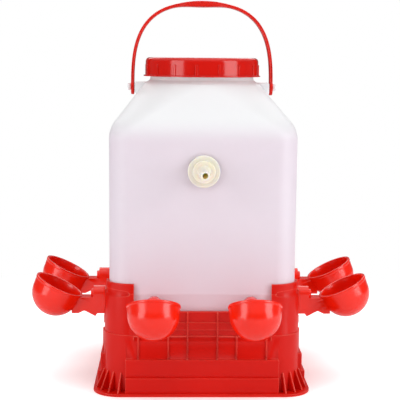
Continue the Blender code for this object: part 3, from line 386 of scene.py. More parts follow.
def filleted(points, radii, steps=4):
    """An open outline with its inner corners turned into arcs; radii has one value for each inner corner."""
    points = [Vector(point) for point in points]
    rounded = [points[0]]
    for before, corner, after, radius in zip(points, points[1:], points[2:], radii):
        into, out = (corner - before).normalized(), (after - corner).normalized()
        turn = into.angle(out, 0)
        if radius <= 0 or turn < 1e-3:
            rounded.append(corner)
            continue
        room = min((corner - before).length, (after - corner).length) * 0.49
        reach = min(radius * math.tan(turn / 2), room)
        start, end = corner - into * reach, corner + out * reach
        for step in range(steps + 1):
            share = step / steps
            rounded.append(start * (1 - share) ** 2 + corner * 2 * share * (1 - share) + end * share ** 2)
    rounded.append(points[-1])
    return rounded


def rounded_square(half, corner, height):
    """Points round a square with rounded corners."""
    points = []
    for quarter in range(4):
        turn = Matrix.Rotation(QUARTER * quarter, 2)
        for step in range(CORNER_STEPS + 1):
            angle = QUARTER * step / CORNER_STEPS
            arm = Vector((math.cos(angle), math.sin(angle))) * corner
            flat = turn @ (Vector((half - corner, half - corner)) + arm)
            points.append((flat.x, flat.y, height))
    return points


def skinned(loops):
    """A closed shell through loops of points, with flat ends."""
    shell = bmesh.new()
    rings = [[shell.verts.new(point) for point in loop] for loop in loops]
    for low, high in zip(rings, rings[1:]):
        for step in range(len(low)):
            after = (step + 1) % len(low)
            shell.faces.new((low[step], low[after], high[after], high[step]))
    shell.faces.new(reversed(rings[0]))
    shell.faces.new(rings[-1])
    bmesh.ops.recalc_face_normals(shell, faces=shell.faces)
    return shell


def block_loops(half, low, high, edge, corner=None):
    """Loops of an upright block whose top edge is rounded over, or flared where the edge is negative."""
    corner = corner or SEAT_CORNER + half - SEAT_HALF
    loops = [rounded_square(half, corner, low)]
    for step in range(EDGE_STEPS + 1):
        turn = QUARTER * step / EDGE_STEPS
        inset = edge * (1 - math.cos(turn))
        loops.append(rounded_square(half - inset, corner - inset, high - abs(edge) * (1 - math.sin(turn))))
    return loops


def turned_copy(shell, angle):
    """A copy of a shell, turned round the upright axis."""
    copy = shell.copy()
    bmesh.ops.rotate(copy, cent=(0, 0, 0), matrix=Matrix.Rotation(angle, 3, "Z"), verts=copy.verts)
    return copy


def on_four_sides(shells):
    """Copies of the shells for all four sides, in one shell."""
    return gathered([turned_copy(shell, QUARTER * side) for side in range(4) for shell in shells])


def stand_ribs():
    """Upright ribs on one side: a pair up to the panel's edge, and a pair up to the seam in each side bay."""
    ribs = []
    for middle, top in ((-RIB_BAY, SEAM_HEIGHT), (0, PANEL_HEIGHT), (RIB_BAY, SEAM_HEIGHT)):
        for across in (middle - RIB_PITCH / 2, middle + RIB_PITCH / 2):
            ribs.append(slab((POST_HALF - THIN_EDGE * 3, across - RIB_WIDTH / 2, MIDDLE_TIER_TOP - OVERRUN),
                             (POST_HALF + RIB_PROUD, across + RIB_WIDTH / 2, top - THIN_EDGE), THIN_EDGE))
    return ribs


def stand_fins():
    """The thin brace fins that fan out round one corner of the foot."""
    fins = []
    centre = SEAT_HALF - SEAT_CORNER
    inner, outer = BODY_HALF - centre - FOOT_WALL / 2, BODY_HALF - centre + FIN_REACH
    low = FLANGE_HEIGHT / 2
    section = ((inner, low), (inner, FIN_HEIGHT), (inner + FOOT_WALL, FIN_HEIGHT),
               (outer, FLANGE_HEIGHT * 0.8), (outer, low))
    outline = [(x, -FIN_THICKNESS / 2, z) for x, z in section]
    for number in range(FINS_PER_CORNER):
        share = number / (FINS_PER_CORNER - 1)
        turn = Matrix.Rotation(FIRST_FIN + (QUARTER - 2 * FIRST_FIN) * share, 4, "Z")
        fin = edged_prism(outline, Y_AXIS, FIN_THICKNESS, THIN_EDGE)
        bmesh.ops.transform(fin, matrix=Matrix.Translation((centre, centre, 0)) @ turn, verts=fin.verts)
        fins.append(fin)
    return fins


def scoop():
    """The eye-shaped hollow round a post's top: its floor slopes down and outwards to a curved lip."""
    centre = SEAT_HALF - SEAT_CORNER
    deep, proud = SEAT_CORNER + SCOOP_WALL, SEAT_CORNER + POST_HALF - SEAT_HALF + OVERRUN / 2
    tip = POST_HEIGHT - SCOOP_TIP_DROP
    loops = []
    for step in range(SCOOP_STEPS + 1):
        share = 2 * step / SCOOP_STEPS - 1
        angle = math.pi / 4 + SCOOP_REACH * share
        bulge = 1 - share ** 2
        high = tip + (SCOOP_RISE + SCOOP_TIP_DROP) * bulge ** 0.25 + SCOOP_CLEAR
        floor = tip - (SCOOP_DROP - SCOOP_TIP_DROP) * bulge
        slope = SCOOP_SLOPE * bulge
        corners = ((deep, floor + slope), (proud, floor - slope), (proud, high), (deep, high))
        loops.append([(centre + reach * math.cos(angle), centre + reach * math.sin(angle), z)
                      for reach, z in corners])
    return skinned(loops)


def opening_outline():
    """The bay between two collars as (across, height) points, with its lower corners rounded."""
    half, high = WINDOW_HALF_WIDTH, COLLAR_HEIGHT + OVERRUN
    points = [(0, high), (-half, high), (-half, PANEL_HEIGHT), (half, PANEL_HEIGHT), (half, high), (0, high)]
    return filleted(points, (0, WINDOW_ROUND, WINDOW_ROUND, 0), 8)[1:]


def notch_outline(across):
    """The open-topped notch for a cup's arm, as (across, height) points."""
    chamfer = NOTCH_HALF / 3
    points = [(NOTCH_HALF, PANEL_HEIGHT + OVERRUN), (-NOTCH_HALF, PANEL_HEIGHT + OVERRUN),
              (-NOTCH_HALF, NOTCH_LOW + chamfer), (-NOTCH_HALF + chamfer, NOTCH_LOW),
              (NOTCH_HALF - chamfer, NOTCH_LOW), (NOTCH_HALF, NOTCH_LOW + chamfer)]
    return [(across + side, height) for side, height in points]


def cut_through(obj, outline):
    """Cuts an outline of (across, height) points through the stand's walls, both ways."""
    for turn in (0, QUARTER):
        points = [(-FLANGE_HALF, across, height) for across, height in outline]
        cutter = turned_copy(prism(points, X_AXIS, 2 * FLANGE_HALF), turn)
        for face in cutter.faces:
            face.material_index = 1
        shape(obj, cutter, "DIFFERENCE")


def round_cut_edges(obj, width):
    """Rounds the edges where the cut faces, which have the second material, meet the others."""
    shell = bmesh.new()
    shell.from_mesh(obj.data)
    bmesh.ops.remove_doubles(shell, verts=shell.verts, dist=MERGE)
    edges = [edge for edge in shell.edges
             if len(edge.link_faces) == 2 and edge.calc_face_angle() > math.radians(SHARP)
             and any(face.material_index for face in edge.link_faces)]
    bmesh.ops.bevel(shell, geom=edges, offset=width, offset_type="OFFSET", segments=2, profile=0.5,
                    affect="EDGES", clamp_overlap=True, miter_outer="ARC")
    shell.to_mesh(obj.data)
    shell.free()


def even_normals(obj, crease):
    """Shades the stand smooth but for sharp edges and those at one height; large faces lead each normal."""
    shade(obj)
    for edge in obj.data.edges:
        if all(abs(obj.data.vertices[index].co.z - crease) < 1e-5 for index in edge.vertices):
            edge.use_edge_sharp = True
    settle = obj.modifiers.new("even_normals", "WEIGHTED_NORMAL")
    settle.keep_sharp = True
    settle.weight = 90
    bake_modifiers(obj)


def add_walls(stand):
    """Stacks the body, the posts, the collars and the tiers on the flange."""
    for block in (block_loops(BODY_HALF, FLANGE_HEIGHT / 2, SEAM_HEIGHT, THIN_EDGE),
                  block_loops(POST_HALF, SEAM_HEIGHT - OVERRUN, POST_HEIGHT, MOULD_EDGE),
                  block_loops(COLLAR_HALF, POST_HEIGHT - OVERRUN, COLLAR_HEIGHT, MOULD_EDGE)):
        shape(stand, skinned(block), "UNION")
    for half, top in TIERS:
        tier = slab((SEAT_HALF - OVERRUN, -TIER_HALF_WIDTH, FLANGE_HEIGHT / 2), (half, TIER_HALF_WIDTH, top),
                    MOULD_EDGE)
        shape(stand, on_four_sides([tier]), "UNION")


def add_relief(stand):
    """Cuts the groove under the seam and the hollows at the collars, and adds the band, ribs and fins."""
    foot = GROOVE_TOP - GROOVE_HEIGHT
    section = [(BODY_HALF + OVERRUN, GROOVE_TOP), (BODY_HALF - GROOVE_DEPTH, GROOVE_TOP),
               (BODY_HALF - GROOVE_DEPTH, GROOVE_TOP - GROOVE_HEIGHT / 3), (BODY_HALF, foot),
               (BODY_HALF + OVERRUN, foot)]
    groove = prism([(x, -WINDOW_HALF_WIDTH, z) for x, z in section], Y_AXIS, 2 * WINDOW_HALF_WIDTH)
    shape(stand, on_four_sides([groove]), "DIFFERENCE")
    band_half = WINDOW_HALF_WIDTH - THIN_EDGE
    band = slab((POST_HALF - THIN_EDGE * 3, -band_half, BAND_LOW),
                (POST_HALF + BAND_PROUD, band_half, BAND_LOW + BAND_HEIGHT), THIN_EDGE)
    for additions in ([band], stand_ribs(), stand_fins()):
        shape(stand, on_four_sides(additions), "UNION")
    shape(stand, on_four_sides([scoop()]), "DIFFERENCE")


def hollow_out(stand):
    """Hollows the foot and the tiers from below, and ribs the underside of the shelf."""
    inner_half, shelf_low = BODY_HALF - FOOT_WALL, SHELF_HEIGHT - SHELF_THICKNESS
    corner = SEAT_CORNER + inner_half - SEAT_HALF
    loops = [rounded_square(inner_half, corner, height) for height in (-OVERRUN, shelf_low)]
    shape(stand, skinned(loops), "DIFFERENCE")
    for half, top in TIERS:
        hollow = slab((SEAT_HALF - OVERRUN, -TIER_HALF_WIDTH + FOOT_WALL, -OVERRUN),
                      (half - FOOT_WALL, TIER_HALF_WIDTH - FOOT_WALL, top - FOOT_WALL), THIN_EDGE)
        shape(stand, on_four_sides([hollow]), "DIFFERENCE")
    reach = inner_half + FOOT_WALL / 2
    for turn in (0, QUARTER):
        ribs = []
        for across in (-SHELF_RIB_SPACING, 0, SHELF_RIB_SPACING):
            rib = slab((-reach, across - RIB_WIDTH / 2, shelf_low - SHELF_RIB_DEPTH),
                       (reach, across + RIB_WIDTH / 2, shelf_low + SHELF_THICKNESS / 2), THIN_EDGE)
            ribs.append(turned_copy(rib, turn))
        shape(stand, gathered(ribs), "UNION")


def make_stand():
    """The stand: walls and relief first, then the seat, the openings and the hollow foot."""
    flange = block_loops(FLANGE_HALF, 0, FLANGE_HEIGHT, MOULD_EDGE, FLANGE_CORNER)
    stand = mesh_object("moulded_stand", skinned(flange))
    for face_kind in ("outside", "cut"):
        stand.data.materials.append(bpy.data.materials.new(face_kind))
    add_walls(stand)
    add_relief(stand)
    mouth = rounded_square(SEAT_HALF + THIN_EDGE, SEAT_CORNER + THIN_EDGE, COLLAR_HEIGHT + OVERRUN)
    seat = block_loops(SEAT_HALF, SHELF_HEIGHT, COLLAR_HEIGHT, -THIN_EDGE) + [mouth]
    shape(stand, skinned(seat), "DIFFERENCE")
    for outline in (opening_outline(), notch_outline(-CUP_SPACING / 2), notch_outline(CUP_SPACING / 2)):
        cut_through(stand, outline)
    round_cut_edges(stand, THIN_EDGE)
    hollow_out(stand)
    even_normals(stand, GROOVE_TOP - GROOVE_HEIGHT)
    return stand


def dress(obj, material, body, slot, *nodes):
    """Gives a finished piece its material, its body and the CAD nodes that it stands for."""
    obj.data.materials.clear()
    obj.data.materials.append(material)
    obj.data.polygons.foreach_set("material_index", [0] * len(obj.data.polygons))
    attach(obj, body)
    if nodes:
        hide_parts(*nodes)


# Satin polypropylene: a deep red with wide, faint highlights, and painted highlights lightening its outer
# edges.
stand_red = moulded_plastic("satin_red_polypropylene", "ce0f04", "d91507", 0.34, 0.5, 0.02, 60, 0.22)
paint_edge_highlights(stand_red, 1.3, "ff7a68", 0.8)
dress(make_stand(), stand_red, "stand", "stand_red", "stand")


# Jug
# Blow-moulded in unpigmented high-density polyethylene, so it is milky and satin. The shoulders draw in to a
# threaded neck, two ears carry the handle on their studs, and the walls are drilled for cups and inlet.
JUG_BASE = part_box("jug")[0].z
JUG_HALF = 0.103
JUG_CORNER = 0.024
JUG_WALL = 0.0025
JUG_SIDE_HEIGHT = 0.209
JUG_BASE_ROUND = 0.008
SHOULDER_ROUND = 0.030
SHOULDER_SLOPE = math.radians(52)
NECK_RADIUS = 0.0595
NECK_SPREAD = 0.0065
NECK_STEP = 0.0045
NECK_HEIGHT = 0.0195
NECK_ROUNDS = (0.006, 0.003, 0.0008)
MOUTH_ROLL = 0.001
LEAST_CORNER = 0.001
PARTING_LINE_Z = 0.1106
PARTING_LINE_PROUD = 0.00025
PARTING_LINE_FOOT = 0.0012
PARTING_LINE_CREST = 0.0004
SHOULDER_Z = JUG_BASE + JUG_SIDE_HEIGHT
SHOULDER_TURN = QUARTER - SHOULDER_SLOPE
SLOPE_START_HALF = JUG_HALF - SHOULDER_ROUND * (1 - math.cos(SHOULDER_TURN))
SLOPE_START_Z = SHOULDER_Z + SHOULDER_ROUND * math.sin(SHOULDER_TURN)
SLOPE_END_HALF = NECK_RADIUS + NECK_SPREAD
SLOPE_END_Z = SLOPE_START_Z + (SLOPE_START_HALF - SLOPE_END_HALF) * math.tan(SHOULDER_SLOPE)
SLOPE_STEPS = 12
NECK_ROOT_Z = SLOPE_END_Z + NECK_STEP
NECK_TOP_Z = NECK_ROOT_Z + NECK_HEIGHT
EAR_WIDTH = 0.020
EAR_TOP_BELOW_NECK = 0.003
EAR_FACE_HEIGHT = 0.0125
EAR_HALF_SPAN = 0.0775
EAR_EDGE = 0.0012
PIVOT_Z = NECK_ROOT_Z - 0.0085
STUD_RADIUS = 0.0029
STUD_HEAD_RADIUS = 0.0040
STUD_HEAD_LENGTH = 0.0035
STUD_ROUNDS = (0, 0.0003, 0.0004, 0.0020)
ROOT = 0.0015
STRAP_THICKNESS = 0.0037
RUNNING = 0.0005
STEM_Z = JUG_BASE + 0.019
STEM_RADIUS = 0.0055
INLET_Z = JUG_BASE + 0.1754
INLET_SHANK_RADIUS = 0.0085
DRILL_DEPTH = 0.008
FINE_STEPS = 48
# Heights where the jug's painted red bounce light fades out and its painted light from above fades in on the
# shoulders.
RED_BOUNCE_TOP_Z = 0.20
TOP_LIGHT_FADE = 0.006
BAR_STEPS = 32


def arc(middle, radius, start, end, steps):
    """Points on an arc round a middle, from one angle to another."""
    angles = [start + (end - start) * step / steps for step in range(steps + 1)]
    return [(middle[0] + radius * math.cos(angle), middle[1] + radius * math.sin(angle)) for angle in angles]


def turned(profile, steps, matrix=Matrix()):
    """Spins (radius, height) points round Z; a profile that is off the axis at both ends is a closed loop."""
    shell = bmesh.new()
    angles = [math.tau * step / steps for step in range(steps)]
    rings = []
    for radius, height in profile:
        points = [(radius * math.cos(angle), radius * math.sin(angle), height) for angle in angles]
        if radius < 1e-7:
            points = [(0, 0, height)]
        rings.append([shell.verts.new(point) for point in points])
    pairs = list(zip(rings, rings[1:]))
    if len(rings[0]) > 1 and len(rings[-1]) > 1:
        pairs.append((rings[-1], rings[0]))
    for low, high in pairs:
        for step in range(steps):
            after = step + 1
            corners = list(dict.fromkeys((low[step % len(low)], low[after % len(low)],
                                          high[after % len(high)], high[step % len(high)])))
            if len(corners) > 2:
                shell.faces.new(corners)
    bmesh.ops.recalc_face_normals(shell, faces=shell.faces)
    bmesh.ops.transform(shell, matrix=matrix, verts=shell.verts)
    return shell


def facing(start, end):
    """The place of a turned piece that runs from one point towards another."""
    return Matrix.Translation(start) @ (end - start).to_track_quat("Z", "Y").to_matrix().to_4x4()


def bar(start, end, radius, steps=BAR_STEPS):
    """A plain round bar from one point to another."""
    length = (end - start).length
    return turned([(0, 0), (radius, 0), (radius, length), (0, length)], steps, facing(start, end))


def shoulder_half(height):
    """Half width of the jug's straight shoulder at a height."""
    return SLOPE_START_HALF - (height - SLOPE_START_Z) / math.tan(SHOULDER_SLOPE)


def corner_at(half, height):
    """Corner radius: it grows up the shoulder until the section is round at the neck."""
    corner = JUG_CORNER - (JUG_HALF - half)
    if height > SHOULDER_Z:
        share = max((JUG_HALF - half) / (JUG_HALF - SLOPE_END_HALF), 0)
        corner = JUG_CORNER + (SLOPE_END_HALF - JUG_CORNER) * share
    return min(corner, half)


def jug_profile():
    """The jug's outer face from the base's flat to the mouth, as (half width, height) points."""
    base_middle = (JUG_HALF - JUG_BASE_ROUND, JUG_BASE + JUG_BASE_ROUND)
    points = arc(base_middle, JUG_BASE_ROUND, -QUARTER, 0, 6)
    beside = JUG_HALF - PARTING_LINE_PROUD
    for rise, half in ((-PARTING_LINE_FOOT, beside), (-PARTING_LINE_CREST, JUG_HALF),
                       (PARTING_LINE_CREST, JUG_HALF), (PARTING_LINE_FOOT, beside)):
        points.append((half, PARTING_LINE_Z + rise))
    points += arc((JUG_HALF - SHOULDER_ROUND, SHOULDER_Z), SHOULDER_ROUND, 0, SHOULDER_TURN, 10)
    for step in range(1, SLOPE_STEPS):
        share = step / SLOPE_STEPS
        points.append((SLOPE_START_HALF + (SLOPE_END_HALF - SLOPE_START_HALF) * share,
                       SLOPE_START_Z + (SLOPE_END_Z - SLOPE_START_Z) * share))
    neck = [points.pop(), (SLOPE_END_HALF, SLOPE_END_Z), (NECK_RADIUS, NECK_ROOT_Z),
            (NECK_RADIUS, NECK_TOP_Z), (NECK_RADIUS - JUG_WALL / 2, NECK_TOP_Z)]
    return [Vector(point) for point in points] + filleted(neck, NECK_ROUNDS, 5)[:-1]


def jug_walls():
    """The jug's outer face, and its inner face one wall inside it, as one shell that is open at the mouth."""
    outer = jug_profile()
    outside, inside = [], []
    for before, point, after in zip(outer[:1] + outer, outer, outer[1:] + outer[-1:]):
        corner = corner_at(point.x, point.y)
        outside.append((point.x, corner, point.y))
        along = (after - before).normalized()
        half, height = point.x - JUG_WALL * along.y, point.y + JUG_WALL * along.x
        if height < NECK_TOP_Z - MOUTH_ROLL:
            inside.append((half, min(max(corner - JUG_WALL, LEAST_CORNER), half), height))
    bore = NECK_RADIUS - JUG_WALL
    sections = [*outside, (bore, bore, NECK_TOP_Z), *reversed(inside)]
    shell = skinned([rounded_square(*section) for section in sections])
    bmesh.ops.remove_doubles(shell, verts=shell.verts, dist=MERGE)
    return shell


def add_ear(jug, side):
    """Adds the ear on one side, with the headed stud that the handle's eye turns on."""
    top = NECK_ROOT_Z - EAR_TOP_BELOW_NECK
    low = top - EAR_FACE_HEIGHT
    foot = low - (EAR_HALF_SPAN - shoulder_half(low)) / 2
    section = ((shoulder_half(top) - ROOT, top), (EAR_HALF_SPAN, top), (EAR_HALF_SPAN, low),
               (shoulder_half(foot) - ROOT, foot))
    outline = [(side * x, -EAR_WIDTH / 2, z) for x, z in section]
    shape(jug, edged_prism(outline, Y_AXIS, EAR_WIDTH, EAR_EDGE), "UNION")
    head = 2 * RUNNING + STRAP_THICKNESS
    stud = filleted([(0, -ROOT), (STUD_RADIUS, -ROOT), (STUD_RADIUS, head), (STUD_HEAD_RADIUS, head),
                     (STUD_HEAD_RADIUS, head + STUD_HEAD_LENGTH), (0, head + STUD_HEAD_LENGTH)],
                    STUD_ROUNDS, 5)
    place = Matrix.Translation((side * EAR_HALF_SPAN, 0, PIVOT_Z)) @ Matrix.Rotation(side * QUARTER, 4, "Y")
    shape(jug, turned(stud, BAR_STEPS, place), "UNION")


def make_jug():
    """The jug with its inner wall, ears, studs and drilled holes."""
    jug = mesh_object("blow_moulded_jug", jug_walls())
    for side in (-1, 1):
        add_ear(jug, side)
    drills = []
    for side in range(4):
        for across in (-CUP_SPACING / 2, CUP_SPACING / 2):
            drill = bar(Vector((JUG_HALF - DRILL_DEPTH, across, STEM_Z)),
                        Vector((JUG_HALF + OVERRUN, across, STEM_Z)), STEM_RADIUS + RUNNING)
            drills.append(turned_copy(drill, QUARTER * side))
    drills.append(bar(Vector((0, -JUG_HALF + DRILL_DEPTH, INLET_Z)),
                      Vector((0, -JUG_HALF - OVERRUN, INLET_Z)), INLET_SHANK_RADIUS + RUNNING))
    shape(jug, gathered(drills), "DIFFERENCE")
    return shade(jug)


def let_light_in(material, share, spread, depth):
    """Lets light wander inside a plastic, which softens its shading."""
    feed(material.node_tree, material.node_tree.nodes["Principled BSDF"], {"Subsurface Weight": share,
                                                                           "Subsurface Radius": spread,
                                                                           "Subsurface Scale": depth})


def milky_polyethylene():
    """Unpigmented polyethylene: lilac grey where light is lost inside it, with painted pink bounce light from
    the red stand towards the foot and painted light from above whitening the shoulders.
    """
    material = moulded_plastic("milky_blown_polyethylene", "e4d8e2", "e9dee8", 0.42, 1.2, 0.02, 45, 0.4)
    tree = material.node_tree
    shader = tree.nodes["Principled BSDF"]
    pigment = shader.inputs["Base Color"].links[0].from_socket
    place = add_node(tree, "ShaderNodeTexCoord").outputs["Object"]
    height = add_node(tree, "ShaderNodeSeparateXYZ", {"Vector": place}).outputs["Z"]
    # Painted pink bounce light from the red stand, strongest at the jug's foot and fading out upwards.
    foot = add_node(tree, "ShaderNodeMapRange", {"Value": height, "From Min": JUG_BASE,
                                                 "From Max": RED_BOUNCE_TOP_Z}, interpolation_type="SMOOTHSTEP")
    red_bounce = add_node(tree, "ShaderNodeMix", {"Factor": foot, "A": colour("e6d0da"), "B": pigment},
                    data_type="RGBA")
    # Painted light from above: the shoulders are whitened where the overhead light falls on them.
    top_light = add_node(tree, "ShaderNodeMapRange", {"Value": height, "From Min": SHOULDER_Z - TOP_LIGHT_FADE,
                                                     "From Max": SLOPE_START_Z + TOP_LIGHT_FADE},
                        interpolation_type="SMOOTHSTEP")
    whole = add_node(tree, "ShaderNodeMix", {"Factor": top_light, "A": red_bounce, "B": colour("f0f0f2")},
                     data_type="RGBA")
    feed(tree, shader, {"Base Color": whole})
    let_light_in(material, 0.15, (1.0, 0.9, 0.95), 0.006)
    return material


jug_milk = milky_polyethylene()
dress(make_jug(), jug_milk, "jug", "jug_white", "jug")


# Carrying handle
# A bendy bail of red polyethylene. Its strap has a groove along each edge, swells into a wide grip at the
# crown, and ends in two round eyes that are pushed over the ears' studs.
handle_low, handle_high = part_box("handle")
STRAP_WIDTH = 0.013
STRAP_EDGE_ROUND = 0.0011
STRAP_EDGE_STEPS = 12
STRAP_GROOVE = 0.00045
STRAP_GROOVE_SHARE = 0.5
STRAP_X = EAR_HALF_SPAN + RUNNING + STRAP_THICKNESS / 2
EYE_RADIUS = PIVOT_Z - handle_low.z
GRIP_THICKNESS = 0.0068
GRIP_WIDTH = handle_high.y - handle_low.y
GRIP_HALF_LENGTH = 0.036
HANDLE_RISE = handle_high.z - PIVOT_Z - GRIP_THICKNESS / 2
HANDLE_SQUARENESS = 2.85
HANDLE_STEPS = 120


def rod_profile(radius, low, high, rounding, steps=4):
    """Profile of a turned rod or disc between two heights, with its two edges rounded."""
    return filleted([(0, low), (radius, low), (radius, high), (0, high)], rounding, steps)


def strap_section(thickness, width):
    """Outline of the strap across its length, as (sideways, outward) points: round edges with a groove."""
    points = []
    for side in (1, -1):
        for step in range(STRAP_EDGE_STEPS + 1):
            share = 2 * step / STRAP_EDGE_STEPS - 1
            round_in = STRAP_EDGE_ROUND * (1 - (1 - abs(share) ** 4) ** 0.25)
            groove = STRAP_GROOVE * max(1 - (share / STRAP_GROOVE_SHARE) ** 2, 0) ** 2
            points.append((side * (width / 2 - round_in - groove), side * share * thickness / 2))
    return points


def strap_loops():
    """Sections of the strap from one eye to the other, along a squarish arch that swells at the grip."""
    power = 2 / HANDLE_SQUARENESS
    loops = []
    for step in range(HANDLE_STEPS + 1):
        angle = math.pi * (step / HANDLE_STEPS - 0.5)
        sine, cosine = math.sin(angle), max(math.cos(angle), 0)
        x = STRAP_X * math.copysign(abs(sine) ** power, sine)
        z = HANDLE_RISE * cosine ** power if cosine > 1e-9 else 0
        normal = Vector((math.copysign(abs(sine) ** (2 - power), sine) / STRAP_X,
                         cosine ** (2 - power) / HANDLE_RISE)).normalized()
        swell = math.sin(max(1 - abs(x) / GRIP_HALF_LENGTH, 0) * QUARTER) ** 2
        thickness = STRAP_THICKNESS + (GRIP_THICKNESS - STRAP_THICKNESS) * swell
        width = STRAP_WIDTH + (GRIP_WIDTH - STRAP_WIDTH) * min(swell * 2, 1)
        loops.append([(x + normal.x * outward, across, PIVOT_Z + z + normal.y * outward)
                      for across, outward in strap_section(thickness, width)])
    return loops


def make_handle():
    """The bail with its grip and its two eyes."""
    handle = mesh_object("carrying_handle", skinned(strap_loops()))
    half = STRAP_THICKNESS / 2
    eye = rod_profile(EYE_RADIUS, -half, half, (STRAP_EDGE_ROUND, STRAP_EDGE_ROUND))
    reach = X_AXIS * STRAP_THICKNESS
    for side in (-1, 1):
        middle = Vector((side * STRAP_X, 0, PIVOT_Z))
        place = Matrix.Translation(middle) @ Matrix.Rotation(QUARTER, 4, "Y")
        shape(handle, turned(eye, FINE_STEPS, place), "UNION")
        shape(handle, bar(middle - reach, middle + reach, STUD_RADIUS + RUNNING), "DIFFERENCE")
    return shade(handle)


# Tough polyethylene: a slightly lighter red than the stand's, with a softly glossy face.
handle_red = moulded_plastic("tough_red_polyethylene", "d4180e", "de2214", 0.30, 0.8, 0.015, 30, 0.25)
dress(make_handle(), handle_red, "handle", "handle_red", "handle")


# Plug
# A soft dish of natural polyethylene that is pressed into the jug's mouth under the screw lid. A finger
# tab across its floor pulls it out.
plug_low, plug_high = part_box("inner_lid")
PLUG_RADIUS = NECK_RADIUS - JUG_WALL - RUNNING
PLUG_WALL = 0.0014
PLUG_FLANGE = 0.0012
PLUG_TAB_LENGTH = 0.024
PLUG_TAB_HEIGHT = 0.007
PLUG_TAB_ROUND = 0.002
PLUG_ROUNDS = (0.0008, 0, 0.0003, 0.0003, 0.0006, 0.001)
ROUND_STEPS = 96


def make_plug():
    """The dish with its flange and its finger tab."""
    foot, floor, inside = plug_high.z - PLUG_FLANGE, plug_low.z + PLUG_WALL, PLUG_RADIUS - PLUG_WALL
    points = [(0, plug_low.z), (PLUG_RADIUS, plug_low.z), (PLUG_RADIUS, foot), (NECK_RADIUS, foot),
              (NECK_RADIUS, plug_high.z), (inside, plug_high.z), (inside, floor), (0, floor)]
    profile = filleted(points, PLUG_ROUNDS)
    plug = mesh_object("mouth_plug", turned(profile, ROUND_STEPS))
    round_middle = (PLUG_TAB_LENGTH / 2 - PLUG_TAB_ROUND, floor + PLUG_TAB_HEIGHT - PLUG_TAB_ROUND)
    right = [(PLUG_TAB_LENGTH / 2, plug_low.z + PLUG_WALL / 2)]
    right += arc(round_middle, PLUG_TAB_ROUND, 0, QUARTER, 6)
    outline = right + [(-x, z) for x, z in reversed(right)]
    shape(plug, prism([(x, -PLUG_WALL / 2, z) for x, z in outline], Y_AXIS, PLUG_WALL), "UNION")
    return shade(plug)


# Natural polyethylene: an off-white that is a little waxy and nearly matt.
plug_white = moulded_plastic("soft_natural_polyethylene", "e6e6e2", "eeeeea", 0.45, 0.8, 0.015, 25)
dress(make_plug(), plug_white, "inner_lid", "plug_white", "inner_lid")


# Foam disc
# A disc stamped from white closed-cell foam, pressed into the screw lid so that it seals on the plug.
liner_low, liner_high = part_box("lid_liner")
LINER_ROUND = 0.0002
FOAM_CELL_MM = 0.6
FOAM_CLOUD_MM = 12


def closed_cell_foam():
    """White foam: matt and faintly clouded, and pitted all over by its fine closed cells."""
    material, tree, shader, place = blank_material("closed_cell_foam")
    cells = add_node(tree, "ShaderNodeTexVoronoi", {"Vector": place, "Scale": 1000 / FOAM_CELL_MM})
    cloudy = add_node(tree, "ShaderNodeTexNoise", {"Vector": place, "Scale": 1000 / FOAM_CLOUD_MM})
    tone = add_node(tree, "ShaderNodeMix", {"Factor": cloudy, "A": colour("e4e4df"), "B": colour("f0f0ec")},
                    data_type="RGBA")
    relief = add_node(tree, "ShaderNodeBump", {"Height": cells, "Distance": 0.00008, "Strength": 0.6})
    feed(tree, shader, {"Base Color": tone, "Normal": relief, "Roughness": 0.85})
    return material


liner_profile = rod_profile(liner_high.x, liner_low.z, liner_high.z, (LINER_ROUND, LINER_ROUND))
dress(mesh_object("foam_disc", turned(liner_profile, ROUND_STEPS)), closed_cell_foam(), "lid_liner",
      "foam_white", "lid_liner")


# Screw lid
# A glossy red polypropylene cap, moulded with grip ribs round its skirt, a thin flange at its foot and a
# shallow panel on top. The thread inside it runs on the one round the jug's neck.
lid_low, lid_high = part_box("lid_cap")
LID_FLANGE_PROUD = 0.0023
LID_FLANGE_HEIGHT = 0.0014
LID_WALL = 0.0020
LID_TOP_THICKNESS = 0.0022
LID_EDGE_ROUND = 0.0055
LID_PANEL_RADIUS = 0.048
LID_PANEL_DEPTH = 0.0008
LID_RADIUS = lid_high.x - LID_FLANGE_PROUD
LID_ROUNDS = (0.0005, 0.0006, LID_EDGE_ROUND, 0.0006, 0.0005, 0.0005, 0.0005, LID_EDGE_ROUND / 2)
LID_STEPS = 144
LID_SHARP = 50
LID_GRIPS = 16
LID_GRIP_WIDTH = 0.0030
LID_GRIP_PROUD = 0.0009
LID_GRIP_HEIGHT = 0.0135
LID_GRIP_EDGE = 0.0006
LID_GRIP_START = math.radians(15.75)
THREAD_PITCH = 0.006
THREAD_HALF = 0.0011
THREAD_TURNS = 1.5
THREAD_STEPS = 64
THREAD_SIDES = 12
THREAD_LOW = lid_low.z + 0.0065


def geometry_tree(name, inputs):
    """A geometry tree with named inputs; returns it with its input node's outputs."""
    tree = bpy.data.node_groups.new(name, "GeometryNodeTree")
    for label, kind in inputs.items():
        tree.interface.new_socket(label, in_out="INPUT", socket_type="NodeSocket" + kind)
    tree.interface.new_socket("Geometry", in_out="OUTPUT", socket_type="NodeSocketGeometry")
    return tree, add_node(tree, "NodeGroupInput").outputs


def end_tree(tree, geometry, material):
    """Ends a geometry tree: its copies made real, then its material and its output."""
    real = add_node(tree, "GeometryNodeRealizeInstances", {"Geometry": geometry})
    dressed = add_node(tree, "GeometryNodeSetMaterial", {"Geometry": real, "Material": material})
    add_node(tree, "NodeGroupOutput", {"Geometry": dressed})
    return tree


def grown(name, tree, **values):
    """A plain mesh piece from a geometry tree, with the tree's inputs set by their labels."""
    obj = link_object(name, bpy.data.meshes.new(name))
    modifier = obj.modifiers.new(name, "NODES")
    modifier.node_group = tree
    for item in tree.interface.items_tree:
        if item.in_out == "INPUT":
            modifier[item.identifier] = values[item.name.lower().replace(" ", "_")]
    bake_modifiers(obj)
    obj.data.name = name
    return obj


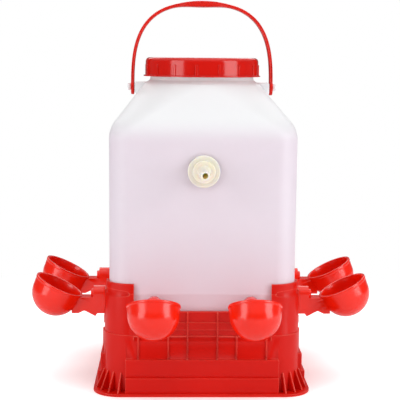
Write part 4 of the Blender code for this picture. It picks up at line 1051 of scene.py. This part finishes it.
def places_tree():
    """Sets copies of a piece round the upright axis: Per Side of them side by side at each turn."""
    tree, given = geometry_tree("places_round_the_axis", {
        "Piece": "Object", "Count": "Int", "Per Side": "Int", "Turn": "Float", "Start": "Float",
        "Reach": "Float", "Spacing": "Float", "Height": "Float", "Material": "Material"})
    index = add_node(tree, "GeometryNodeInputIndex")
    share = add_node(tree, "ShaderNodeMath", {0: index, 1: given["Per Side"]}, operation="DIVIDE")
    side = add_node(tree, "ShaderNodeMath", {0: share}, operation="FLOOR")
    angle = add_node(tree, "ShaderNodeMath", {0: side, 1: given["Turn"], 2: given["Start"]},
                     operation="MULTIPLY_ADD")
    number = add_node(tree, "ShaderNodeMath", {0: index, 1: given["Per Side"]}, operation="MODULO")
    last = add_node(tree, "ShaderNodeMath", {0: given["Per Side"], 1: 1.0}, operation="SUBTRACT")
    middle = add_node(tree, "ShaderNodeMath", {0: last, 1: 0.5}, operation="MULTIPLY")
    off = add_node(tree, "ShaderNodeMath", {0: number, 1: middle}, operation="SUBTRACT")
    across = add_node(tree, "ShaderNodeMath", {0: off, 1: given["Spacing"]}, operation="MULTIPLY")
    place = add_node(tree, "ShaderNodeCombineXYZ", {"X": given["Reach"], "Y": across, "Z": given["Height"]})
    spun = add_node(tree, "ShaderNodeVectorRotate", {"Vector": place, "Angle": angle}, rotation_type="Z_AXIS")
    points = add_node(tree, "GeometryNodePoints", {"Count": given["Count"], "Position": spun})
    euler = add_node(tree, "ShaderNodeCombineXYZ", {"Z": angle})
    turn = add_node(tree, "FunctionNodeEulerToRotation", {0: euler})
    piece = add_node(tree, "GeometryNodeObjectInfo", {"Object": given["Piece"]})
    copies = add_node(tree, "GeometryNodeInstanceOnPoints", {"Points": points,
                                                             "Instance": piece.outputs["Geometry"],
                                                             "Rotation": turn})
    return end_tree(tree, copies, given["Material"])


def thread_tree():
    """A screw thread: a ridge on a helix round the upright axis that fades in and out at its ends."""
    tree, given = geometry_tree("screw_thread", {
        "Radius": "Float", "Half Width": "Float", "Pitch": "Float", "Turns": "Float", "Height": "Float",
        "Material": "Material"})
    rise = add_node(tree, "ShaderNodeMath", {0: given["Pitch"], 1: given["Turns"]}, operation="MULTIPLY")
    helix = add_node(tree, "GeometryNodeCurveSpiral", {"Resolution": THREAD_STEPS,
                                                       "Rotations": given["Turns"],
                                                       "Start Radius": given["Radius"],
                                                       "End Radius": given["Radius"], "Height": rise})
    lift = add_node(tree, "ShaderNodeCombineXYZ", {"Z": given["Height"]})
    placed = add_node(tree, "GeometryNodeTransform", {"Geometry": helix, "Translation": lift})
    share = add_node(tree, "GeometryNodeSplineParameter")
    edge = add_node(tree, "ShaderNodeMath", {0: share, 1: 0.5}, operation="SUBTRACT")
    away = add_node(tree, "ShaderNodeMath", {0: edge}, operation="ABSOLUTE")
    fade = add_node(tree, "ShaderNodeMapRange", {"Value": away, "From Min": 0.5, "From Max": 0.46,
                                                 "To Min": 0.15}, interpolation_type="SMOOTHSTEP")
    shaped = add_node(tree, "GeometryNodeSetCurveRadius", {"Curve": placed, "Radius": fade})
    ridge = add_node(tree, "GeometryNodeCurvePrimitiveCircle", {"Resolution": THREAD_SIDES,
                                                                "Radius": given["Half Width"]})
    swept = add_node(tree, "GeometryNodeCurveToMesh", {"Curve": shaped, "Profile Curve": ridge, "Scale": fade,
                                                       "Fill Caps": True})
    smooth = add_node(tree, "GeometryNodeSetShadeSmooth", {0: swept})
    return end_tree(tree, smooth, given["Material"])


def make_lid():
    """The cap's turned body."""
    foot_radius, inside = LID_RADIUS + LID_FLANGE_PROUD, LID_RADIUS - LID_WALL
    flange_z, ceiling = lid_low.z + LID_FLANGE_HEIGHT, lid_high.z - LID_TOP_THICKNESS
    panel_z, panel_edge = lid_high.z - LID_PANEL_DEPTH, LID_PANEL_RADIUS + LID_PANEL_DEPTH
    points = [(0, panel_z), (LID_PANEL_RADIUS, panel_z), (panel_edge, lid_high.z), (LID_RADIUS, lid_high.z),
              (LID_RADIUS, flange_z), (foot_radius, flange_z), (foot_radius, lid_low.z), (inside, lid_low.z),
              (inside, ceiling), (0, ceiling)]
    return mesh_object("screw_lid", turned(filleted(points, LID_ROUNDS, 6), LID_STEPS), LID_SHARP)


def make_grip():
    """One grip rib in its own frame: +X leaves the lid, and its top end is rounded off."""
    depth, half = LID_GRIP_PROUD + LID_WALL / 2, LID_GRIP_WIDTH / 2
    rib = mesh_object("grip", prism([(0, -half, 0), (depth, -half, 0), (depth, half, 0), (0, half, 0)],
                                    Z_AXIS, LID_GRIP_HEIGHT - LID_FLANGE_HEIGHT / 2))
    round_edges(rib, LID_GRIP_EDGE, 30, 4)
    return rib


def make_thread(name, radius, height, material):
    """One of the two threads, which run in each other half a pitch apart."""
    return grown(name, threads, radius=radius, half_width=THREAD_HALF, pitch=THREAD_PITCH, turns=THREAD_TURNS,
                 height=height, material=material)


# Glossy polypropylene: a darker red, whose smooth mould gives sharp reflections with a slight orange peel.
lid_red = moulded_plastic("glossy_red_polypropylene", "cc1107", "d6170b", 0.14, 2.5, 0.008, 40, 0.42)
places = places_tree()
threads = thread_tree()
dress(make_lid(), lid_red, "lid_cap", "lid_red", "lid_cap")
grip_master = make_grip()
grips = grown("lid_grips", places, piece=grip_master, count=LID_GRIPS, per_side=1, turn=math.tau / LID_GRIPS,
              start=LID_GRIP_START, reach=LID_RADIUS - LID_WALL / 2, spacing=0.0,
              height=lid_low.z + LID_FLANGE_HEIGHT / 2, material=lid_red)
bpy.data.objects.remove(grip_master)
dress(grips, lid_red, "lid_cap", "lid_red")
lid_thread = make_thread("lid_thread", LID_RADIUS - LID_WALL - THREAD_HALF / 2, THREAD_LOW, lid_red)
dress(lid_thread, lid_red, "lid_cap", "lid_red")
neck_thread = make_thread("neck_thread", NECK_RADIUS + THREAD_HALF / 2, THREAD_LOW - THREAD_PITCH / 2,
                          jug_milk)
dress(neck_thread, jug_milk, "jug", "jug_white")


# Drinking cups
# Each cup is one glossy red polypropylene moulding: a tilted bowl on a hollow arm, with a hook under it and
# a round-topped valve block against the jug. Its stem goes through the wall to a nut, on a rubber washer.
CUP_FACE = 0.0024
BOWL_REACH = 0.057
BOWL_RISE = 0.0219
BOWL_TILT = math.radians(26.5)
BOWL_RADIUS = 0.0272
BOWL_DRAFT = 0.0006
BOWL_WALL = 0.0018
BOWL_STRAIGHT = 0.010
BOWL_LIP_PROUD = 0.0012
BOWL_LIP_HEIGHT = 0.0022
BOWL_LIP_FOOT = 1.6 * BOWL_LIP_HEIGHT
BOWL_LIP_ROUNDS = (0.002, 0.0012, 0.0009)
RIM_FLARE = ((0, -0.0008), (0.0003, -0.0002), (0.0008, 0.0003), (0.0008, OVERRUN))
BOWL_PLACE = Matrix.Translation((BOWL_REACH, 0, BOWL_RISE)) @ Matrix.Rotation(-BOWL_TILT, 4, "Y")
ARM_WIDTH = 0.0175
ARM_ABOVE_STEM = 0.0083
ARM_BELOW_STEM = 0.0100
ARM_END = BOWL_REACH - BOWL_RADIUS / 2
ARM_EDGE = 0.0005
ARM_ROUNDS = (0.0005, 0.0012, 0.0006, 0.003, 0.002, 0, 0)
HOOK_START = 0.0145
HOOK_TIP = 0.0169
HOOK_DEPTH = 0.0032
HOLLOW_REACH = 0.0292
HOLLOW_RISE = 0.0033
HEEL_REACH = 0.036
VALVE_BLOCK_START = 0.0053
VALVE_BLOCK_LENGTH = 0.0138
VALVE_BLOCK_RISE = 0.0117
SPIGOT_RADIUS = 0.005
SPIGOT_LENGTH = 0.003
SPIGOT_ROUND = 0.0012
STEM_LENGTH = 0.013
STEM_BORE = 0.0020
STEM_ROUND = 0.0006
CHAMBER_START = 0.012
CHAMBER_RADIUS = 0.0040
CUP_ROOT = 0.002
CUP_WASHER_THICKNESS = 0.0018
CUP_WASHER_RADIUS = 0.0085
CUP_NUT_RADIUS = 0.0105
CUP_NUT_HEIGHT = 0.006
NUT_SHARP = 20
WASHER_EDGE = 0.0003
NUT_CHAMFER_SHARE = 0.08
NUT_FLAT_SHARE = 0.9
RUBBER_BLOOM_MM = 4
RUBBER_GRAIN_MM = 0.25
TOUCH = 0.0003
CURVE_STEPS = 24
ALONG_X = Matrix.Rotation(QUARTER, 4, "Y")
CUP_NAMES = ("right_front", "right_back", "back_right", "back_left",
             "left_back", "left_front", "front_left", "front_right")


def bowl(radius, top):
    """A round-bottomed bowl in its place on the arm, with the points above its curve given."""
    curve = arc((0, -BOWL_STRAIGHT), radius, -QUARTER, 0, CURVE_STEPS)
    return turned([Vector(point) for point in curve + top], ROUND_STEPS, BOWL_PLACE)


def arm_side():
    """The arm from the side, with its hook and the hollow behind it, as (reach, height) points."""
    low = -ARM_BELOW_STEM
    points = [(CUP_FACE, ARM_ABOVE_STEM), (CUP_FACE, low), (HOOK_START, low), (HOOK_TIP, low - HOOK_DEPTH),
              (HOLLOW_REACH, low + HOLLOW_RISE), (HEEL_REACH, low), (ARM_END, low), (ARM_END, ARM_ABOVE_STEM)]
    return filleted(points, ARM_ROUNDS)


def make_cup():
    """One cup in its own frame: +X leaves the jug, and the origin is where the stem meets the wall."""
    side, lip, inner = BOWL_RADIUS + BOWL_DRAFT, BOWL_RADIUS + BOWL_LIP_PROUD, BOWL_RADIUS - BOWL_WALL
    bead = filleted([(side, -BOWL_STRAIGHT / 2), (side, -BOWL_LIP_FOOT), (lip, -BOWL_LIP_HEIGHT),
                     (lip, 0), (inner, 0)], BOWL_LIP_ROUNDS, 5)
    cup = mesh_object("drinking_cup", bowl(BOWL_RADIUS, bead + [(0, 0)]))
    outline = [(reach, -ARM_WIDTH / 2, height) for reach, height in arm_side()]
    shape(cup, edged_prism(outline, Y_AXIS, ARM_WIDTH, ARM_EDGE), "UNION")
    dome = [(-ARM_WIDTH / 2, 0), (ARM_WIDTH / 2, 0)]
    dome += arc((0, VALVE_BLOCK_RISE), ARM_WIDTH / 2, 0, math.pi, CURVE_STEPS)
    outline = [(VALVE_BLOCK_START, across, height) for across, height in dome]
    shape(cup, edged_prism(outline, X_AXIS, VALVE_BLOCK_LENGTH, ARM_EDGE), "UNION")
    spigot_place = Matrix.Translation((VALVE_BLOCK_START + VALVE_BLOCK_LENGTH, 0, VALVE_BLOCK_RISE)) @ ALONG_X
    spigot = rod_profile(SPIGOT_RADIUS, -CUP_ROOT, SPIGOT_LENGTH, (0, SPIGOT_ROUND), 5)
    shape(cup, turned(spigot, FINE_STEPS, spigot_place), "UNION")
    stem = rod_profile(STEM_RADIUS, -STEM_LENGTH, CUP_FACE + CUP_ROOT, (STEM_ROUND, 0))
    shape(cup, turned(stem, FINE_STEPS, ALONG_X), "UNION")
    hollow = [(inner + outward, height) for outward, height in RIM_FLARE] + [(0, OVERRUN)]
    shape(cup, bowl(inner, hollow), "DIFFERENCE")
    stem_end = -STEM_LENGTH - CUP_ROOT
    bore = [(0, stem_end), (STEM_BORE, stem_end), (STEM_BORE, CHAMBER_START), (CHAMBER_RADIUS, CHAMBER_START),
            (CHAMBER_RADIUS, ARM_END), (0, ARM_END)]
    shape(cup, turned(bore, FINE_STEPS, ALONG_X), "DIFFERENCE")
    return shade(cup)


def hexagon_nut(name, start, end, corner_radius, bore):
    """A moulded hexagon nut between two points, with its corners chamfered."""
    length, place = (end - start).length, facing(start, end)
    angles = [math.tau * step / 6 for step in range(6)]
    shell = prism([(corner_radius * math.cos(angle), corner_radius * math.sin(angle), 0) for angle in angles],
                  Z_AXIS, length)
    bmesh.ops.transform(shell, matrix=place, verts=shell.verts)
    nut = mesh_object(name, shell)
    chamfer, flat = corner_radius * NUT_CHAMFER_SHARE, corner_radius * NUT_FLAT_SHARE
    ends = [(bore, 0), (flat, 0), (corner_radius, chamfer), (corner_radius, length - chamfer), (flat, length),
            (bore, length)]
    shape(nut, turned(ends, FINE_STEPS, place), "INTERSECT")
    return shade(nut, NUT_SHARP)


def ring(name, start, end, outer, inner):
    """A flat washer between two points."""
    length, edge = (end - start).length, WASHER_EDGE
    profile = [(inner, edge), (inner + edge, 0), (outer - edge, 0), (outer, edge), (outer, length - edge),
               (outer - edge, length), (inner + edge, length), (inner, length - edge)]
    return mesh_object(name, turned(profile, FINE_STEPS, facing(start, end)))


def black_rubber():
    """Moulded rubber: dull black with a fine tooth and a dusty bloom."""
    material, tree, shader, place = blank_material("black_moulded_rubber")
    bloom = add_node(tree, "ShaderNodeTexNoise", {"Vector": place, "Scale": 1000 / RUBBER_BLOOM_MM,
                                                  "Detail": 4.0})
    tone = add_node(tree, "ShaderNodeMix", {"Factor": bloom, "A": colour("161616"), "B": colour("262524")},
                    data_type="RGBA")
    grain = add_node(tree, "ShaderNodeTexNoise", {"Vector": place, "Scale": 1000 / RUBBER_GRAIN_MM})
    relief = add_node(tree, "ShaderNodeBump", {"Height": grain, "Distance": 0.00002, "Strength": 1.0})
    feed(tree, shader, {"Base Color": tone, "Normal": relief, "Roughness": 0.7})
    return material


def set_round_the_jug(name, master, material, slot, kind):
    """Sets one piece at all eight places of the cups, for the nodes whose names start with its kind."""
    piece = grown(name, places, piece=master, count=8, per_side=2, turn=QUARTER, start=0.0, reach=JUG_HALF,
                  spacing=CUP_SPACING, height=STEM_Z, material=material)
    bpy.data.objects.remove(master)
    dress(piece, material, "jug", slot, *[kind + cup for cup in CUP_NAMES])


# Glossy polypropylene: a brighter red with a thin clear skin of gloss. Natural polypropylene: a satin cream.
cup_red = moulded_plastic("glossy_cup_polypropylene", "f01b04", "fa2306", 0.22, 1.5, 0.006, 30, 0.45, 0.15)
natural = moulded_plastic("natural_polypropylene", "dedcd4", "e8e6de", 0.40, 0.8, 0.01, 20)
rubber = black_rubber()
set_round_the_jug("drinking_cups", make_cup(), cup_red, "cup_red", "cup_")
washer = ring("washer", X_AXIS * TOUCH, X_AXIS * (TOUCH + CUP_WASHER_THICKNESS), CUP_WASHER_RADIUS,
              STEM_RADIUS + TOUCH)
set_round_the_jug("cup_washers", washer, rubber, "rubber_black", "cup_washer_")
nut_start = -X_AXIS * (JUG_WALL + TOUCH)
cup_nut = hexagon_nut("nut", nut_start, nut_start - X_AXIS * CUP_NUT_HEIGHT, CUP_NUT_RADIUS,
                      STEM_RADIUS + TOUCH)
set_round_the_jug("cup_nuts", cup_nut, natural, "inner_white", "cup_nut_")


# Peck pins
# A drawn stainless rod with a sealing head turned on its inner end. It lies on the lower lip of its cup's
# chamber, and a bird that tips it lets the water past the head.
PIN_RADIUS = 0.0015
PIN_HEAD_RADIUS = 0.0030
PIN_HEAD_LENGTH = 0.0016
PIN_LENGTH = 0.036
PIN_ROUNDS = (0.0003, 0.0003, 0.0002, 0.0008)
PIN_PIVOT = CHAMBER_START + RUNNING + PIN_HEAD_LENGTH / 2
PIN_DROOP = math.radians(3.962)
SCRATCH_MM = 6
SCRATCH_STRETCH = 20.0


def drawn_steel(along):
    """Drawn stainless steel: bright, with fine scratches along one axis that stretch its highlights."""
    material, tree, shader, place = blank_material("drawn_stainless_" + along.lower())
    stretch = [1.0 if axis == along else SCRATCH_STRETCH for axis in "XYZ"]
    stretched = add_node(tree, "ShaderNodeMapping", {"Vector": place, "Scale": stretch})
    scratches = add_node(tree, "ShaderNodeTexNoise", {"Vector": stretched, "Scale": 1000 / SCRATCH_MM,
                                                      "Detail": 3.0})
    gloss = add_node(tree, "ShaderNodeMapRange", {"Value": scratches, "To Min": 0.18, "To Max": 0.36})
    tone = add_node(tree, "ShaderNodeMix", {"Factor": scratches, "A": colour("b8b6b3"),
                                            "B": colour("d2d0cd")}, data_type="RGBA")
    relief = add_node(tree, "ShaderNodeBump", {"Height": scratches, "Distance": 0.000005, "Strength": 0.6})
    feed(tree, shader, {"Base Color": tone, "Roughness": gloss, "Normal": relief, "Metallic": 1.0})
    return material


steel_x, steel_y = drawn_steel("X"), drawn_steel("Y")
half_head = PIN_HEAD_LENGTH / 2
pin_profile = filleted([(0, -half_head), (PIN_HEAD_RADIUS, -half_head), (PIN_HEAD_RADIUS, half_head),
                        (PIN_RADIUS, half_head), (PIN_RADIUS, PIN_LENGTH), (0, PIN_LENGTH)],
                       PIN_ROUNDS)
for number, cup_name in enumerate(CUP_NAMES):
    side, across = number // 2, CUP_SPACING * (number % 2 - 0.5)
    pivot = Matrix.Translation((JUG_HALF + PIN_PIVOT, across, STEM_Z))
    place = Matrix.Rotation(QUARTER * side, 4, "Z") @ pivot @ Matrix.Rotation(QUARTER + PIN_DROOP, 4, "Y")
    pin = mesh_object("pin_" + cup_name, turned(pin_profile, FINE_STEPS, place))
    dress(pin, steel_y if side % 2 else steel_x, "peck_pin_" + cup_name, "steel", "peck_pin_" + cup_name)


# Float valve
# An ivory acetal body goes through the front wall, clamped on two rubber washers by a hexagon nut, with a
# tapered hose nozzle outside. Inside, a float on a lever turns a cam that pushes a piston on to the seat.
INLET_WASHER_THICKNESS = 0.0018
INLET_WASHER_RADIUS = 0.0155
INLET_FLANGE_RADIUS = 0.0175
INLET_FLANGE_THICKNESS = 0.0036
INLET_RING_RADIUS = 0.0122
INLET_RING_LENGTH = 0.0035
NOZZLE_BASE_RADIUS = 0.0073
NOZZLE_TIP_RADIUS = 0.0049
NOZZLE_REACH = 0.0493
NOZZLE_BORE = 0.0030
VALVE_ROUNDS = (0.0004, 0.0005, 0.0012, 0.0009, 0.0008, 0.0009,
                0.0004, 0.0004, 0.0005, 0.0003, 0.0002, 0.0003)
INLET_SHANK_LENGTH = 0.030
INLET_NUT_RADIUS = 0.0135
INLET_NUT_HEIGHT = 0.006
SEAT_DEPTH = 0.012
PISTON_CHAMBER_RADIUS = 0.0058
PISTON_RADIUS = 0.0052
PISTON_LENGTH = 0.008
PISTON_PAD_LENGTH = 0.0015
PISTON_ROD_RADIUS = 0.0016
CLEVIS_INNER_HALF = 0.0032
CLEVIS_THICKNESS = 0.0020
CLEVIS_EDGE = 0.0004
LEVER_PIVOT_BACK = 0.007
PIVOT_DROP = 0.006
PIVOT_DRILL_HALF = 0.01
CAM_RADIUS = 0.0018
PISTON_ROUNDS = (0.0003, 0.0004, 0.0004, 0.0002)
PISTON_PAD_ROUNDS = (0.0002, 0.0003)
LEVER_THICKNESS = 0.004
LEVER_BOSS_RADIUS = 0.0030
LEVER_HEIGHT = 0.005
LEVER_LENGTH = 0.062
LEVER_EDGE = 0.0003
LEVER_PIN_RADIUS = 0.0012
FLOAT_DROOP = math.radians(30)
FLOAT_RADIUS = 0.018
FLOAT_LENGTH = 0.050
FLOAT_SOCKET_DEPTH = 0.012
WELD_RADIUS = FLOAT_RADIUS * 0.985
WELD_HALF = 0.0004
WELD_FOOT = 0.001
VALVE_STEPS = 64
INLET_FRAME = Matrix.Translation((0, -JUG_HALF, INLET_Z)) @ Matrix.Rotation(QUARTER, 4, "X")
FLANGE_BACK = TOUCH + INLET_WASHER_THICKNESS + TOUCH
FLANGE_FRONT = FLANGE_BACK + INLET_FLANGE_THICKNESS
RING_FRONT = FLANGE_FRONT + INLET_RING_LENGTH
SHANK_END_Y = -JUG_HALF + INLET_SHANK_LENGTH
LEVER_PIVOT = Vector((0, SHANK_END_Y + LEVER_PIVOT_BACK, INLET_Z - PIVOT_DROP))
PISTON_TRAVEL = PIVOT_DROP * math.sin(FLOAT_DROOP)
PISTON_PAD_FRONT = -SEAT_DEPTH - TOUCH - PISTON_TRAVEL
PISTON_PAD_BACK = PISTON_PAD_FRONT - PISTON_PAD_LENGTH
PISTON_FRONT = PISTON_PAD_BACK - TOUCH
CAM_FACE = -JUG_HALF - (LEVER_PIVOT.y + PISTON_TRAVEL - CAM_RADIUS - TOUCH)


def make_valve_body():
    """Nozzle, flanges, shank and clevis in one moulding."""
    points = [(NOZZLE_BORE, 0), (NOZZLE_BORE, NOZZLE_REACH), (NOZZLE_TIP_RADIUS, NOZZLE_REACH),
              (NOZZLE_BASE_RADIUS, RING_FRONT), (INLET_RING_RADIUS, RING_FRONT),
              (INLET_RING_RADIUS, FLANGE_FRONT), (INLET_FLANGE_RADIUS, FLANGE_FRONT),
              (INLET_FLANGE_RADIUS, FLANGE_BACK),
              (INLET_SHANK_RADIUS, FLANGE_BACK), (INLET_SHANK_RADIUS, -INLET_SHANK_LENGTH),
              (PISTON_CHAMBER_RADIUS, -INLET_SHANK_LENGTH), (PISTON_CHAMBER_RADIUS, -SEAT_DEPTH),
              (NOZZLE_BORE, -SEAT_DEPTH), (NOZZLE_BORE, 0)]
    profile = filleted(points, VALVE_ROUNDS, 5)[:-1]
    body = mesh_object("float_valve_body", turned(profile, VALVE_STEPS, INLET_FRAME))
    for side in (-1, 1):
        near, far = sorted((side * CLEVIS_INNER_HALF, side * (CLEVIS_INNER_HALF + CLEVIS_THICKNESS)))
        cheek = slab((near, SHANK_END_Y - OVERRUN, LEVER_PIVOT.z - LEVER_BOSS_RADIUS),
                     (far, LEVER_PIVOT.y + LEVER_BOSS_RADIUS, INLET_Z + PISTON_ROD_RADIUS), CLEVIS_EDGE)
        shape(body, cheek, "UNION")
    chamber = bar(Vector((0, -JUG_HALF + SEAT_DEPTH, INLET_Z)), Vector((0, SHANK_END_Y + TOUCH, INLET_Z)),
                  PISTON_CHAMBER_RADIUS, FINE_STEPS)
    shape(body, chamber, "DIFFERENCE")
    reach = X_AXIS * PIVOT_DRILL_HALF
    shape(body, bar(LEVER_PIVOT - reach, LEVER_PIVOT + reach, LEVER_PIN_RADIUS + TOUCH), "DIFFERENCE")
    return shade(body)


def inlet_place(distance):
    """A point on the valve's axis at a distance in front of the jug's wall."""
    return Vector((0, -JUG_HALF - distance, INLET_Z))


def inlet_washer(name, start, end):
    """One of the valve's two washers, between two distances in front of the jug's wall."""
    return ring(name, inlet_place(start), inlet_place(end), INLET_WASHER_RADIUS, INLET_SHANK_RADIUS + TOUCH)


def make_piston():
    """The piston and the rod that the cam pushes."""
    back = PISTON_FRONT - PISTON_LENGTH
    points = [(0, CAM_FACE), (PISTON_ROD_RADIUS, CAM_FACE), (PISTON_ROD_RADIUS, back), (PISTON_RADIUS, back),
              (PISTON_RADIUS, PISTON_FRONT), (0, PISTON_FRONT)]
    profile = filleted(points, PISTON_ROUNDS)
    return mesh_object("valve_plunger", turned(profile, FINE_STEPS, INLET_FRAME))


def make_lever():
    """The lever with its cam, a copy of its solid with the loose triangles joined and the edges rounded."""
    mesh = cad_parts["float_lever"].data.copy()
    mesh.materials.clear()
    shell = bmesh.new()
    shell.from_mesh(mesh)
    bmesh.ops.remove_doubles(shell, verts=shell.verts, dist=2 * MERGE)
    shell.to_mesh(mesh)
    shell.free()
    lever = link_object("float_arm_lever", mesh)
    round_edges(lever, LEVER_EDGE, 40)
    return lever


def make_float():
    """Hollow float in two welded halves, modelled solid, hanging at its lower stop."""
    half = FLOAT_LENGTH / 2
    points = [(0, -half), (FLOAT_RADIUS, -half), (FLOAT_RADIUS, -WELD_FOOT), (WELD_RADIUS, -WELD_HALF),
              (WELD_RADIUS, WELD_HALF), (FLOAT_RADIUS, WELD_FOOT), (FLOAT_RADIUS, half), (0, half)]
    profile = filleted(points, (FLOAT_RADIUS / 4, 0, 0, 0, 0, FLOAT_RADIUS / 4), 6)
    middle = LEVER_PIVOT + Y_AXIS * (LEVER_LENGTH + FLOAT_RADIUS - FLOAT_SOCKET_DEPTH)
    place = Matrix.Translation(middle) @ ALONG_X
    float_piece = mesh_object("hollow_float", turned(profile, VALVE_STEPS, place))
    socket = Vector((LEVER_THICKNESS / 2 + TOUCH, 0, LEVER_HEIGHT / 2 + TOUCH))
    end = LEVER_PIVOT + Y_AXIS * (LEVER_LENGTH + TOUCH)
    mouth = end - Y_AXIS * (FLOAT_SOCKET_DEPTH + OVERRUN)
    shape(float_piece, slab(mouth - socket, end + socket, LEVER_EDGE), "DIFFERENCE")
    droop = Matrix.Translation(LEVER_PIVOT) @ Matrix.Rotation(-FLOAT_DROOP, 4, "X")
    float_piece.data.transform(droop @ Matrix.Translation(-LEVER_PIVOT))
    return shade(float_piece)


# Ivory acetal: warm and softly glossy, and lit from within at its thin nozzle and flange.
valve_ivory = moulded_plastic("ivory_acetal", "f2e3cf", "f9eedf", 0.30, 1.0, 0.008, 12)
let_light_in(valve_ivory, 0.9, (1.0, 0.82, 0.5), 0.009)
dress(make_valve_body(), valve_ivory, "jug", "valve_ivory", "valve_body")
outer_washer = inlet_washer("inlet_washer_outside", TOUCH, TOUCH + INLET_WASHER_THICKNESS)
dress(outer_washer, rubber, "jug", "rubber_black", "valve_outer_washer")
inner_face = -JUG_WALL - TOUCH
inner_washer = inlet_washer("inlet_washer_inside", inner_face, inner_face - INLET_WASHER_THICKNESS)
dress(inner_washer, rubber, "jug", "rubber_black", "valve_inner_washer")
nut_place = inlet_place(inner_face - INLET_WASHER_THICKNESS - TOUCH)
lock_nut = hexagon_nut("inlet_lock_nut", nut_place, nut_place + Y_AXIS * INLET_NUT_HEIGHT, INLET_NUT_RADIUS,
                       INLET_SHANK_RADIUS + TOUCH)
dress(lock_nut, valve_ivory, "jug", "valve_ivory", "valve_lock_nut")
pad_profile = rod_profile(PISTON_RADIUS, PISTON_PAD_BACK, PISTON_PAD_FRONT, PISTON_PAD_ROUNDS)
pad = mesh_object("seat_pad", turned(pad_profile, FINE_STEPS, INLET_FRAME))
dress(pad, rubber, "piston", "rubber_black", "piston_pad")
dress(make_piston(), natural, "piston", "inner_white", "valve_piston")
dress(make_lever(), natural, "float_arm", "inner_white", "float_lever")
pin_half = X_AXIS * (CLEVIS_INNER_HALF + CLEVIS_THICKNESS + RUNNING)
lever_pin = mesh_object("lever_pin", bar(LEVER_PIVOT - pin_half, LEVER_PIVOT + pin_half, LEVER_PIN_RADIUS))
dress(lever_pin, steel_x, "jug", "steel", "float_lever_pin")
dress(make_float(), natural, "float_arm", "inner_white", "float")
